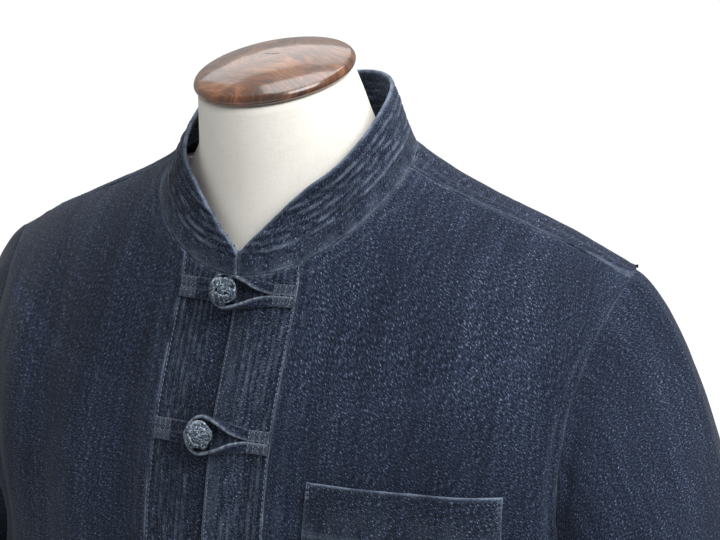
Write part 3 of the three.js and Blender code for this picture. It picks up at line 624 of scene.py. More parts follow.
def denim(name, dark, middle, light, faded, contrast=1.0, streaks=1.0, fade=1.0, seed=0.0):
    """Indigo denim: diagonal twill, pale flecks, long warp streaks and worn edges."""
    made, tree, shader = material(
        name, Roughness=0.9, Specular_IOR_Level=0.22, Sheen_Weight=0.1, Sheen_Roughness=0.4
    )
    cloth_uv = node(tree, "ShaderNodeUVMap", uv_map="cloth").outputs[0]
    twill = stretched_noise(tree, cloth_uv, 0.0006, 0.0024, 58, 1.5, 0.5, seed)
    fleck = stretched_noise(tree, cloth_uv, 0.0006, 0.001, 0, 2.0, 0.75, seed + 3)
    streak = stretched_noise(tree, cloth_uv, 0.0014, 0.03, 0, 3.0, 0.65, seed + 5)
    band = stretched_noise(tree, cloth_uv, 0.009, 0.16, 0, 2.0, 0.5, seed + 7)
    cloud = stretched_noise(tree, cloth_uv, 0.05, 0.09, 0, 2.0, 0.5, seed + 9)
    tone = maths(tree, "MULTIPLY_ADD", twill, 0.62 * contrast)
    tone.node.inputs[2].default_value = 0.0
    for part, share in ((fleck, 0.7 * contrast), (streak, 0.55 * streaks), (band, 0.24 * streaks), (cloud, 0.22)):
        scaled = maths(tree, "MULTIPLY", part, share)
        tone = maths(tree, "ADD", tone, scaled)
    centre = 0.5 * (1.32 * contrast + 0.79 * streaks + 0.22)
    tone = maths(tree, "SUBTRACT", tone, centre - 0.5)
    colour = ramp(tree, tone, [(0.22, dark), (0.5, middle), (0.72, light), (0.95, faded)])
    worn = node(tree, "ShaderNodeAttribute", attribute_name="worn").outputs["Fac"]
    broken = maths(tree, "MULTIPLY_ADD", fleck, 1.9 * fade)
    broken.node.inputs[2].default_value = -0.35 * fade
    share = maths(tree, "MULTIPLY", worn, broken, clamp=True)
    colour = mixed(tree, share, colour, faded)
    tree.links.new(colour, shader.inputs["Base Color"])
    height = maths(tree, "ADD", maths(tree, "MULTIPLY", twill, 0.7), maths(tree, "MULTIPLY", fleck, 0.5))
    bump = node(tree, "ShaderNodeBump", {"Height": height, "Strength": 0.5, "Distance": 0.0005})
    tree.links.new(bump.outputs[0], shader.inputs["Normal"])
    return made


def thread(name, colour):
    made, tree, shader = material(name, Roughness=0.7, Specular_IOR_Level=0.3, Sheen_Weight=0.2)
    place = node(tree, "ShaderNodeTexCoord").outputs["Object"]
    fuzz = stretched_noise(tree, place, 0.0004, 0.0004, 0, 1.0)
    slow = stretched_noise(tree, place, 0.012, 0.012, 0, 2.0)
    dark = tuple(0.45 * c for c in colour[:3]) + (1,)
    tone = maths(tree, "ADD", maths(tree, "MULTIPLY", fuzz, 0.5), maths(tree, "MULTIPLY", slow, 0.5))
    tree.links.new(ramp(tree, tone, [(0.35, dark), (0.62, colour)]), shader.inputs["Base Color"])
    bump = node(tree, "ShaderNodeBump", {"Height": fuzz, "Strength": 0.4, "Distance": 0.0002})
    tree.links.new(bump.outputs[0], shader.inputs["Normal"])
    return made


def linen():
    """Tight plain weave in off-white."""
    made, tree, shader = material("linen", Roughness=0.85, Specular_IOR_Level=0.25, Sheen_Weight=0.1)
    cloth_uv = node(tree, "ShaderNodeUVMap", uv_map="cloth").outputs[0]
    warp = stretched_noise(tree, cloth_uv, 0.0008, 0.009, 0, 2.0, 0.6, 1.0)
    weft = stretched_noise(tree, cloth_uv, 0.009, 0.0008, 0, 2.0, 0.6, 4.0)
    slow = stretched_noise(tree, cloth_uv, 0.05, 0.05, 0, 2.0, 0.5, 6.0)
    weave = maths(tree, "ADD", maths(tree, "MULTIPLY", warp, 0.5), maths(tree, "MULTIPLY", weft, 0.5))
    tone = maths(tree, "ADD", maths(tree, "MULTIPLY", weave, 0.7), maths(tree, "MULTIPLY", slow, 0.3))
    stops = [(0.3, srgb(236, 232, 221)), (0.5, srgb(247, 244, 235)), (0.7, srgb(253, 251, 246))]
    tree.links.new(ramp(tree, tone, stops), shader.inputs["Base Color"])
    bump = node(tree, "ShaderNodeBump", {"Height": weave, "Strength": 0.35, "Distance": 0.0005})
    tree.links.new(bump.outputs[0], shader.inputs["Normal"])
    return made


def wood():
    """Figured brown wood under a clear gloss."""
    made, tree, shader = material("wood", Roughness=0.32, Coat_Weight=0.9, Coat_Roughness=0.1)
    place = node(tree, "ShaderNodeTexCoord").outputs["Object"]
    warp = node(tree, "ShaderNodeTexNoise", {"Vector": place, "Scale": 22.0, "Detail": 3.0}).outputs["Color"]
    bent = node(tree, "ShaderNodeMix", {"Factor": 0.05}, data_type="VECTOR")
    tree.links.new(place, bent.inputs[4])
    tree.links.new(warp, bent.inputs[5])
    grain = stretched_noise(tree, bent.outputs[1], 0.028, 0.0022, 24, 5.0, 0.62, 2.0)
    pores = stretched_noise(tree, bent.outputs[1], 0.006, 0.0005, 24, 2.0, 0.6, 5.0)
    cloud = stretched_noise(tree, bent.outputs[1], 0.02, 0.02, 0, 3.0, 0.6, 8.0)
    tone = maths(tree, "MULTIPLY_ADD", grain, 0.6)
    tone.node.inputs[2].default_value = -0.05
    tone = maths(tree, "ADD", tone, maths(tree, "MULTIPLY", cloud, 0.5))
    stops = [
        (0.34, srgb(50, 27, 14)),
        (0.47, srgb(98, 58, 33)),
        (0.58, srgb(138, 88, 52)),
        (0.72, srgb(172, 118, 74)),
    ]
    colour = ramp(tree, tone, stops)
    fleck = maths(tree, "SUBTRACT", 1.25, pores)
    dark = node(tree, "ShaderNodeMix", {"Factor": 0.5}, data_type="RGBA", blend_type="MULTIPLY")
    tree.links.new(colour, dark.inputs[6])
    tree.links.new(fleck, dark.inputs[7])
    tree.links.new(dark.outputs[2], shader.inputs["Base Color"])
    return made


def steel():
    """Brushed steel with a fine turned grain."""
    made, tree, shader = material("steel", Metallic=1.0)
    place = node(tree, "ShaderNodeTexCoord").outputs["Object"]
    brush = node(
        tree, "ShaderNodeTexNoise", {"Vector": place, "Scale": 60.0, "Detail": 4.0, "Roughness": 0.7}
    ).outputs["Fac"]
    fine = node(tree, "ShaderNodeTexNoise", {"Vector": place, "Scale": 900.0, "Detail": 2.0}).outputs["Fac"]
    tone = maths(tree, "ADD", maths(tree, "MULTIPLY", brush, 0.4), maths(tree, "MULTIPLY", fine, 0.6))
    stops = [(0.35, srgb(150, 151, 154)), (0.65, srgb(196, 197, 200))]
    tree.links.new(ramp(tree, tone, stops), shader.inputs["Base Color"])
    rough = maths(tree, "MULTIPLY_ADD", tone, 0.3)
    rough.node.inputs[2].default_value = 0.18
    tree.links.new(rough, shader.inputs["Roughness"])
    bump = node(tree, "ShaderNodeBump", {"Height": fine, "Strength": 0.1, "Distance": 0.0002})
    tree.links.new(bump.outputs[0], shader.inputs["Normal"])
    return made


INDIGO = denim(
    "denim",
    srgb(10, 14, 25),
    srgb(24, 32, 50),
    srgb(54, 67, 91),
    srgb(132, 147, 170),
    contrast=1.8,
    streaks=0.6,
)
DOUBLED = denim(
    "denim_doubled",
    srgb(7, 10, 18),
    srgb(19, 26, 41),
    srgb(52, 65, 90),
    srgb(140, 156, 180),
    contrast=1.9,
    streaks=0.6,
    seed=11.0,
)
TRIM = denim(
    "denim_trim",
    srgb(7, 10, 19),
    srgb(19, 26, 42),
    srgb(48, 60, 85),
    srgb(158, 173, 192),
    contrast=1.8,
    streaks=0.4,
    seed=23.0,
)
WOVEN = denim(
    "denim_woven",
    srgb(9, 13, 22),
    srgb(30, 39, 55),
    srgb(98, 114, 134),
    srgb(178, 193, 206),
    contrast=3.0,
    streaks=0.3,
    seed=31.0,
)
THREAD = thread("thread", srgb(56, 70, 98))
PALE_THREAD = thread("thread_pale", srgb(132, 148, 172))
LINEN = linen()
WOOD = wood()
STEEL = steel()


# Jacket panels
def zone_rows(shoulder, armhole, side):
    """Rows of a panel, with finer ones at the neck and the hem for the rounded lips."""
    first = ROW_TIP * stepped(150, 150 / shoulder, CLOTH / 2)
    middle = np.linspace(ROW_TIP, ROW_UNDERARM, armhole + 1)[1:]
    below = np.linspace(ROW_UNDERARM, 1, side + 1)[1:-1]
    lip = 1 - np.array([1.6, 1.05, 0.6, 0.25, 0]) * (CLOTH / 2) / 450
    return np.concatenate([first[:-5], [ROW_TIP], middle, below[:-1], lip])


def drape_height(points, drapes):
    """Soft uneven troughs and ridges that hang down the cloth."""
    x, z = np.abs(points[..., 0]), points[..., 2]
    height = 0
    for at, strongest, lean, wide, long, depth in drapes:
        across = (x - at - lean * (z - strongest)) / wide
        down = (z - strongest) / long
        height = height + depth * np.exp(-across * across - down * down)
    return height


def cloth_uv(points):
    """Places on the cloth in millimetres: warp runs down and the weft follows the wrap at the sides."""
    dx = np.diff(points[..., 0], axis=1)
    dy = np.diff(points[..., 1], axis=1)
    turned = smooth(170, 215, np.abs((points[:, 1:, 0] + points[:, :-1, 0]) / 2))
    steps = np.abs(dx) + np.abs(dy) * turned
    u = np.concatenate([np.zeros((len(points), 1)), np.cumsum(steps, axis=1)], axis=1)
    u = u + np.abs(points[:, :1, 0])
    return join(u, warp_place(points))


def warp_place(points):
    """The place down the warp: the shoulders slope away, so depth counts there too."""
    return -points[..., 2] + 0.5 * np.abs(points[..., 1]) * smooth(-150, -30, points[..., 2])


def seam_pucker(away, along, reach, period, seed):
    """Uneven gathers that run out of a seam."""
    return np.exp(-away / reach) * noise(along / period, away / 30, seed)


def seam_relief(points, edges, seed, allowance=8.0):
    """Gathers and the doubled cloth beside each edge of a panel, with the worn share of the cloth."""
    down = run_lengths(points, 0)
    across = run_lengths(points, 1)
    height = np.zeros(points.shape[:2])
    worn = np.zeros(points.shape[:2])
    for k, (away, along_rows, lift) in enumerate(edges):
        along = down if along_rows else across
        height += 0.4 * seam_pucker(away, along, 7, 6.5, seed + k)
        height += lift * (1 - smooth(allowance - 1.2, allowance + 0.6, away))
        patchy = 0.6 + 0.6 * noise(along / 9, away / 4, seed + 20 + k)
        worn += 0.6 * np.exp(-((away / 0.9) ** 2)) * patchy
        worn += 0.16 * np.exp(-(((away - allowance) / 1.2) ** 2)) * patchy * (lift > 0)
    return height, np.clip(worn, 0, 1)


TIP_SINK = 0.3
TIP_NORMAL = (0.42, 0.1, 0.9)
TIP_ROUNDS = 24


def tip_calm(away, rows):
    """0 at the corner where the shoulder seam meets the sleeve, and 1 away from it."""
    down = ((rows - ROW_TIP) / 0.03)[:, None]
    return 1 - np.exp(-((away / 12) ** 2) - down * down)


def relaxed(points, calm):
    """A grid with its rows spread evenly at the shoulder tips, where they would fold over each other."""
    share = 0.8 * (1 - calm)[..., None]
    share[[0, -1]] = 0
    share[:, [0, -1]] = 0
    for _ in range(TIP_ROUNDS):
        up_down = np.roll(points, 1, axis=0) + np.roll(points, -1, axis=0)
        side_side = np.roll(points, 1, axis=1) + np.roll(points, -1, axis=1)
        points = points * (1 - share) + (up_down + side_side) / 4 * share
    return points


def steady_normals(points, calm):
    """Normals of a panel, held steady at the shoulder tips, where its rows run nearly along its edge."""
    tip = join(TIP_NORMAL[0] * np.sign(points[..., 0]), TIP_NORMAL[1], TIP_NORMAL[2])
    share = calm[..., None]
    return unit(grid_normals(points) * share + tip * (1 - share))


def unevenness(u, v, seed):
    return 0.3 * noise(u / 15, v / 42, seed) + 0.16 * noise(u / 5, v / 11, seed + 1) + 0.06 * noise(u / 2.6, v / 4, seed + 2)


def sides_away(points):
    return edge_lengths(points)


def zone_away(distance, rows, low, high):
    """A distance from the side edge that counts only between two rows."""
    outside = np.maximum(low - rows, rows - high)
    return distance + np.clip(outside, 0, None)[:, None] * 900


def front_panel(left):
    """One front, from the band's seam to the side."""
    rows = zone_rows(54, 62, 112)
    first = across_at(BAND_WIDTH - SEAM_LAP, rows)
    last = np.ones_like(rows)
    places = stepped(190, 2.9, CLOTH / 2)
    across = first[:, None] + (last - first)[:, None] * places
    points, _ = cloth(across, rows[:, None], False)
    normals = grid_normals(points)
    uv = cloth_uv(points)
    seed = 100 if left else 300
    away = edge_lengths(points)
    edges = [
        (away["first"], True, 0.1 if left else 0.4),
        (away["top"], False, 0.25),
        (zone_away(away["last"], rows, 0, ROW_TIP), True, 0.0),
        (zone_away(away["last"], rows, ROW_TIP, ROW_UNDERARM), True, 0.45),
        (zone_away(away["last"], rows, ROW_UNDERARM, 1), True, 0.3),
    ]
    relief, worn = seam_relief(points, edges, seed)
    hem = 0.5 * (1 - smooth(HEM_DEPTH - 1, HEM_DEPTH + 1, away["bottom"]))
    relief += hem + 0.3 * seam_pucker(np.abs(away["bottom"] - HEM_DEPTH), uv[..., 0], 6, 8, seed + 9)
    worn = np.clip(worn + 0.8 * np.exp(-((away["bottom"] / 1.4) ** 2)), 0, 1)
    drape = drape_height(points, FRONT_DRAPES) * smooth(0, 14, np.minimum(away["first"], away["last"]))
    drape = drape * (1.0 if left else 0.8)
    if not left:
        drape = drape + drape_height(points, RIGHT_DRAPES) * smooth(0, 14, away["first"])
    # Gathers fan down from the armhole toward the underarm.
    fan = away["last"] * 0.6 + down_of(points) * 0.35
    pull = np.exp(-(((rows - 0.34) / 0.05) ** 2))[:, None] * np.exp(-away["last"] / 26)
    relief += 0.8 * pull * np.sin(fan / 4.4)
    calm = tip_calm(away["last"], rows)
    relief = relief * calm - TIP_SINK * (1 - calm)
    points = points + normals * (relief + drape + unevenness(uv[..., 0], uv[..., 1], seed + 5))[..., None]
    side = "left" if left else "right"
    if not left:
        points = points[:, ::-1] * np.array([-1, 1, 1])
        uv, worn = uv[:, ::-1], worn[:, ::-1]
        uv = uv + 777
    return shell(f"jacket_front_{side}", points, CLOTH, INDIGO, uv, worn), points


def down_of(points):
    return run_lengths(points, 0)


RIGHT_DRAPES = [
    (70, -190, 0.05, 13, 90, -1.6),
    (105, -215, 0.08, 11, 90, 1.6),
    (140, -170, 0.08, 13, 80, -1.7),
    (170, -210, 0.08, 11, 70, 1.9),
]


def back_panel():
    """The back, from the left side to the right."""
    rows = zone_rows(50, 58, 104)
    half = 1 - stepped(230, 3.2, CLOTH / 2)[:-4]
    half = half / half[0]
    places = np.concatenate([half, -half[::-1][1:] if half[-1] == 0 else -half[::-1]])
    across = places[None] * np.ones_like(rows)[:, None]
    points, _ = cloth(across, rows[:, None], True)
    away = edge_lengths(points)
    near = np.minimum(away["first"], away["last"])
    calm = tip_calm(near, rows)
    points = relaxed(points, calm)
    normals = steady_normals(points, calm)
    middle = points.shape[1] // 2
    left_uv = cloth_uv(points[:, middle::-1])[:, ::-1]
    right_uv = cloth_uv(points[:, middle:])
    u = np.concatenate([-left_uv[:, :-1, 0], right_uv[..., 0]], axis=1)
    uv = join(u + 1777, warp_place(points))
    edges = [(away["top"], False, 0.25)]
    for key in ("first", "last"):
        edges.append((zone_away(away[key], rows, 0, ROW_TIP), True, 0.45))
        edges.append((zone_away(away[key], rows, ROW_TIP, ROW_UNDERARM), True, 0.45))
        edges.append((zone_away(away[key], rows, ROW_UNDERARM, 1), True, 0.3))
    relief, worn = seam_relief(points, edges, 500)
    relief += 0.5 * (1 - smooth(HEM_DEPTH - 1, HEM_DEPTH + 1, away["bottom"]))
    relief += 0.3 * seam_pucker(np.abs(away["bottom"] - HEM_DEPTH), uv[..., 0], 6, 8, 509)
    worn = np.clip(worn + 0.8 * np.exp(-((away["bottom"] / 1.4) ** 2)), 0, 1)
    relief = relief * calm - TIP_SINK * (1 - calm)
    drape = drape_height(points, BACK_DRAPES) * smooth(0, 14, near)
    points = points + normals * (relief + drape + unevenness(uv[..., 0], uv[..., 1], 505))[..., None]
    steady = steady_normals(points, calm)
    return shell("jacket_back", points, CLOTH, INDIGO, uv, worn, normals=steady), points


LIFT_FROM = 26
LIFT_TO = 12
BAND_LIFT = BAND_CLOTH + 0.5
TUCK_FIRST = 12.5
TUCK_LAST = 37.5
TUCK_SPACING = 4.15


def band_lift(x):
    return BAND_LIFT * smooth(LIFT_TO - 2, LIFT_FROM, -x + LIFT_TO + LIFT_FROM - 2)


def tuck_relief(across, along, spacing, low, high, seed):
    """Rows of stitching through doubled cloth: grooves between soft roped ridges."""
    wander = 0.4 * noise(along / 30, across / 40, seed)
    phase = (across + wander - low) / spacing
    inside = smooth(low - 1.5, low, across) * (1 - smooth(high, high + 1.5, across))
    groove = np.exp(-(((phase - np.round(phase)) * spacing / 0.8) ** 2))
    roping = noise(along / 8 + across / 7, across / spacing, seed + 1)
    fine = noise(along / 2.6 - across / 6, across / 2, seed + 2)
    ridges = -0.42 * groove + 0.3 * roping + 0.16 * fine
    flat = 0.22 * noise(along / 9, across / 5, seed + 3)
    crest = np.exp(-(((phase - np.floor(phase) - 0.5) * spacing / 1.0) ** 2))
    worn = inside * np.clip(0.3 * crest * (0.5 + roping) + 0.16 * fine - 0.15 * groove, 0, 1)
    return ridges * inside + flat, worn


def band(left):
    rows = zone_rows(50, 58, 150)
    if left:
        x = OVERLAP_EDGE + (BAND_WIDTH - OVERLAP_EDGE) * stepped(BAND_WIDTH - OVERLAP_EDGE, 1.0, BAND_CLOTH / 2)
    else:
        x = -BAND_WIDTH + (BAND_WIDTH + UNDERLAP) * stepped(BAND_WIDTH + UNDERLAP, 1.0, BAND_CLOTH / 2)
    lift = band_lift(x) if left else np.zeros_like(x)
    across = across_at(x[None], rows[:, None])
    points, _ = cloth(across, rows[:, None], False, lift[None])
    along = down_of(points)
    from_edge = np.broadcast_to(np.abs(x), along.shape)
    seed = 600 if left else 650
    relief, tucked = tuck_relief(from_edge, along, TUCK_SPACING, TUCK_FIRST, TUCK_LAST, seed)
    if not left:
        relief = relief * (x < 0)
        tucked = tucked * (x < 0)
    away = edge_lengths(points)
    seam = away["last"] if left else away["first"]
    patchy = 0.8 + 0.5 * noise(along / 9, seam / 4, seed + 5)
    worn = tucked + 1.1 * np.exp(-((seam / 0.75) ** 2)) * patchy
    worn += 0.5 * np.exp(-((away["bottom"] / 1.4) ** 2))
    worn += 0.3 * np.exp(-((away["top"] / 1.6) ** 2)) * patchy
    if left:
        worn += 0.6 * np.exp(-((away["first"] / 0.9) ** 2)) * patchy
        worn += 0.1 * (x < 11) * (1 + noise(along / 9, from_edge / 4, seed + 7))
        relief = relief + 0.25 * seam_pucker(away["first"], along, 5, 7, seed + 6)
    relief *= smooth(0, 2, np.minimum(away["top"], away["bottom"]))
    points = points + grid_normals(points) * relief[..., None]
    uv = join(np.broadcast_to(x + (2100 if left else 2300), along.shape), along)
    side = "left" if left else "right"
    worn = np.clip(worn, 0, 1)
    return shell(f"jacket_band_{side}", points, BAND_CLOTH, DOUBLED, uv, worn), points


# Collar lean: turn, then the shares of the height by which the top stands inward and back
COLLAR_LEAN = [
    (0, 0.1, 0.12),
    (0.25, 0.22, 0.12),
    (0.5, 0.44, 0.04),
    (0.8, 0.4, -0.1),
    (1, 0.1, -0.26),
]
RIGHT_EXTRA_LEAN = 0.16
COLLAR_TUCKS = (11.5, 37.0, 5.1)


def collar_half(extra):
    """Foot, upward way, height, normal and length along the neckline of one half."""
    front = np.concatenate([across_at(np.array([0.2, 0.5, 1.0]), 0), np.linspace(across_at(2.2, 0), 1, 62)])
    back = np.linspace(1, 0, 50)[1:]
    line = np.concatenate([row_point(front, 0, False), row_point(back, 0, True)])
    run = run_lengths(line, 0)
    # The corner at the shoulder is rounded a little.
    even = np.concatenate([[0, 0.35, 0.9], np.linspace(1.9, run[-1], 122)])
    line = np.stack([np.interp(even, run, line[:, c]) for c in range(3)], axis=-1)
    for _ in range(6):
        line[1:-1] = (line[:-2] + 2 * line[1:-1] + line[2:]) / 4
    turn = even / even[-1]
    lean = read_table(COLLAR_LEAN, turn)
    flat = unit(line * np.array([1, 1, 0]) + np.array([0, 8, 0]))
    inward = lean[:, 1] + extra * np.sin(np.pi * turn)
    up = unit(join(-flat[:, 0] * inward, lean[:, 2], np.ones_like(turn)))
    left = np.clip(1 - even / COLLAR_END_LENGTH, 0, 1)
    height = COLLAR_HEIGHT + (COLLAR_END_HEIGHT - COLLAR_HEIGHT) * left**1.7
    along = np.gradient(line, axis=0)
    along[0], along[-1] = (1, 0, 0), (-1, 0, 0)
    normal = unit(np.cross(unit(along), up))
    return line, up, height, normal, even


def collar():
    half = collar_half(0)
    other = [v[:-1][::-1] for v in collar_half(RIGHT_EXTRA_LEAN)]
    turn = np.array([-1, 1, 1])
    foot = np.concatenate([half[0], other[0] * turn])
    up = np.concatenate([half[1], other[1] * turn])
    height = np.concatenate([half[2], other[2]])
    normal = np.concatenate([half[3], other[3] * turn])
    run = np.concatenate([half[4], 2 * half[4][-1] - other[4]])
    levels = 1 - stepped(COLLAR_HEIGHT, 0.9, COLLAR_CLOTH / 2)
    rise = levels[:, None] * (height + SEAM_LAP) - SEAM_LAP
    points = foot[None] + up[None] * rise[..., None]
    along = np.broadcast_to(run, rise.shape)
    low, high, spacing = COLLAR_TUCKS
    # The rows of stitching keep their distance from the seam and run out at the rounded ends.
    relief, tucked = tuck_relief(rise, along, spacing, low, high, 700)
    away = edge_lengths(points)
    slack = noise(along / 34, rise / 30, 720) * smooth(0, COLLAR_HEIGHT, rise)
    gathers = 0.5 * np.exp(-rise / 8) * noise(along / 4.2 + rise / 9, rise / 12, 721)
    calm = smooth(0, 2.5, np.minimum(away["first"], away["last"]))
    relief = (1.5 * relief + gathers) * calm * smooth(0, 2.5, away["top"])
    points = points + normal[None] * (relief + 0.7 * slack * calm)[..., None]
    patchy = 0.8 + 0.5 * noise(along / 7, rise / 4, 722)
    worn = 1.7 * tucked + 0.95 * np.exp(-((away["top"] / 1.6) ** 2)) * patchy
    worn += 0.55 * np.exp(-((away["bottom"] / 1.5) ** 2)) * patchy
    worn += 0.22 * np.exp(-rise / 7) * (1 + noise(along / 5, rise / 5, 723))
    worn += 0.7 * np.exp(-((np.minimum(away["first"], away["last"]) / 1.6) ** 2)) * patchy
    # Warp crosses the collar, so the streaks follow its length.
    uv = join(rise + 2600, along)
    return shell("collar_band", points, COLLAR_CLOTH, DOUBLED, uv, np.clip(worn, 0, 1)), points


# Sleeve sections below the cap: along, x, y, z, half width front to back, half depth
SLEEVE_RINGS = [
    (0, 272, -6, -304, 82, 35),
    (0.35, 287, -14, -420, 75, 34),
    (0.7, 296, -28, -540, 66, 30),
    (1, 302, -44, -656, 57, 27),
]
# The way the sleeve leaves the armhole at its tip, front, underarm and back
SLEEVE_LEAVES = [
    (0, 0.92, 0, -0.39, 42, 82),
    (0.25, 0.56, -0.3, -0.77, 42, 50),
    (0.42, 0.8, -0.3, -0.52, 16, 24),
    (0.5, 0.85, 0, -0.53, 12, 14),
    (0.58, 0.8, 0.3, -0.52, 16, 24),
    (0.75, 0.56, 0.25, -0.79, 42, 50),
    (1, 0.92, 0, -0.39, 42, 82),
]
# Sleeve creases: turn, along, slant, half width, half length, depth in millimetres
SLEEVE_CREASES = [
    (0.18, 0.02, 0.0, 0.05, 0.16, -5),
    (0.3, 0.35, 0.0, 0.09, 0.1, -5),
    (0.2, 0.5, 0.0, 0.1, 0.08, -4),
    (0.78, 0.42, 0.0, 0.09, 0.1, -5),
    (0.05, 0.62, 0.0, 0.08, 0.14, -3),
    (0.34, 0.27, 0.6, 0.12, 0.022, 2.6),
    (0.26, 0.44, -0.5, 0.12, 0.02, 2.4),
    (0.3, 0.56, 0.5, 0.11, 0.022, -2.4),
    (0.7, 0.34, -0.6, 0.12, 0.022, 2.6),
    (0.74, 0.52, 0.5, 0.12, 0.022, -2.4),
    (0.1, 0.8, 0.4, 0.1, 0.02, 1.8),
    (0.85, 0.72, -0.4, 0.12, 0.022, 2.0),
    (0.24, 0.12, 0.1, 0.016, 0.3, -1.8),
    (0.15, 0.1, 0.12, 0.022, 0.28, 1.8),
    (0.08, 0.22, 0.08, 0.02, 0.26, -1.4),
    (0.8, 0.1, -0.12, 0.02, 0.3, -2.0),
    (0.9, 0.15, -0.1, 0.024, 0.28, 1.8),
]


SEAM_TROUGH = 2.0
SLEEVE_LAP = 0.5


def armhole_ring(cells):
    """The armhole from under the arm up the front, over the tip and down the back, closed."""
    down = np.linspace(ROW_TIP, ROW_UNDERARM, cells + 1)
    front, front_cross = side_end(down, False)
    back, back_cross = side_end(down, True)
    front_run = run_lengths(front, 0)
    back_run = run_lengths(back, 0)
    turn_front = 0.5 * front_run / front_run[-1]
    turn_back = 1 - 0.5 * back_run / back_run[-1]
    point = np.concatenate([front[::-1], back[1:]])
    outward = np.concatenate([front_cross[::-1], -back_cross[1:]])
    turn = np.concatenate([turn_front[::-1], turn_back[1:] - 1])
    return point, unit(outward), turn


def sleeve_section(along, turn):
    here = read_table(SLEEVE_RINGS, along)
    before = read_table(SLEEVE_RINGS, np.clip(along - 0.02, 0, 1))
    after = read_table(SLEEVE_RINGS, np.clip(along + 0.02, 0, 1))
    axis = unit(after[..., 1:4] - before[..., 1:4])
    front = unit(np.array([0, -1, 0]) + axis * axis[..., 1:2])
    outward = unit(np.cross(front, axis))
    angle = (np.pi / 2 - turn * 2 * np.pi)[..., None]
    point = here[..., 1:4] + front * here[..., 4:5] * np.cos(angle) + outward * here[..., 5:6] * np.sin(angle)
    return point, axis


def sleeve(left):
    start, outward, turn = armhole_ring(56)
    leave = read_table(SLEEVE_LEAVES, turn % 1.0)
    way = unit(leave[:, 1:4])
    start = start - way * SLEEVE_LAP
    end, axis = sleeve_section(np.zeros_like(turn), turn)
    k = np.concatenate([[0, 0.004, 0.009, 0.014], np.linspace(0.024, 1, 50)])[:, None, None]
    cap = bezier(start, start + way * leave[:, 4:5], end - axis * leave[:, 5:6], end, k)
    lip = 1 - np.array([1.6, 1.05, 0.6, 0.25, 0]) * (CLOTH / 2) / 352
    tube_along = np.concatenate([np.linspace(0, 1, 96)[1:-2], lip])
    tube, _ = sleeve_section(tube_along[:, None] * np.ones_like(turn), np.broadcast_to(turn, (len(tube_along), len(turn))))
    points = np.concatenate([cap, tube])[:, :-1]
    turn = turn[:-1] % 1.0
    normals = grid_normals(points, around=True)
    down = run_lengths(points, 0)
    cap_rows = len(cap)
    along = np.concatenate([(np.arange(cap_rows) - cap_rows + 1) / cap_rows * 0.34, tube_along])[:, None]
    height = np.zeros(points.shape[:2])
    for at, place, slant, wide, long, depth in SLEEVE_CREASES:
        around = (turn[None] - at + 0.5) % 1 - 0.5
        height += depth * np.exp(-((around / wide) ** 2) - ((along - place - slant * around * 0.6) / long) ** 2)
    height *= smooth(0, 16, down)
    front_side = np.exp(-(((turn - 0.24) / 0.12) ** 2))[None]
    height -= SEAM_TROUGH * np.exp(-(((down - 9) / 5) ** 2)) * front_side
    girth = run_lengths(points, 1)
    seed = 800 if left else 850
    # Ease gathered into the armhole seam.
    crown_calm = 1 - np.exp(-((((turn + 0.5) % 1 - 0.5) / 0.05) ** 2))[None]
    height += 0.9 * np.exp(-down / 20) * noise(girth / 7, down / 60, seed) * smooth(0, 6, down) * crown_calm
    bottom = down[-1:] - down
    height += 0.5 * (1 - smooth(HEM_DEPTH - 1, HEM_DEPTH + 1, bottom))
    height += 0.3 * seam_pucker(np.abs(bottom - HEM_DEPTH), girth, 6, 8, seed + 1)
    height += unevenness(girth, down, seed + 2) * smooth(0, 6, down)
    under = np.minimum(girth, girth[:, -1:] - girth)
    height -= 0.5 * np.exp(-((under / 1.2) ** 2)) * smooth(0, 6, down)
    height += 0.3 * seam_pucker(under, down, 6, 7, seed + 3)
    points = points + normals * height[..., None]
    patchy = 0.75 + 0.5 * noise(girth / 9, down / 5, seed + 4)
    worn = 0.45 * np.exp(-((down / 0.9) ** 2)) * patchy + 0.9 * np.exp(-((bottom / 1.4) ** 2)) * patchy
    worn += 0.35 * np.exp(-(((bottom - HEM_DEPTH) / 1.5) ** 2)) * patchy
    worn += 0.3 * np.exp(-((under / 1.4) ** 2)) * patchy
    girth_all = np.concatenate([girth, girth[:, -1:] + (girth[:, -1:] - girth[:, -2:-1])], axis=1)
    crown = int(np.argmin(turn))
    girth_all = girth_all - girth_all[:, crown : crown + 1]
    down_all = np.concatenate([down, down[:, :1]], axis=1)
    uv = join(girth_all + (3000 if left else 3600), down_all)
    worn = np.clip(worn, 0, 1)
    if not left:
        points = points[:, ::-1] * np.array([-1, 1, 1])
        worn = worn[:, ::-1]
        uv = uv[:, ::-1]
    side = "left" if left else "right"
    obj = shell(f"jacket_sleeve_{side}", points, CLOTH, INDIGO, uv, worn, around=True)
    return obj, points


# Patch pocket
POCKET_GAP = 0.6
POCKET_PUFF = 1.4
POCKET_HEM = 30


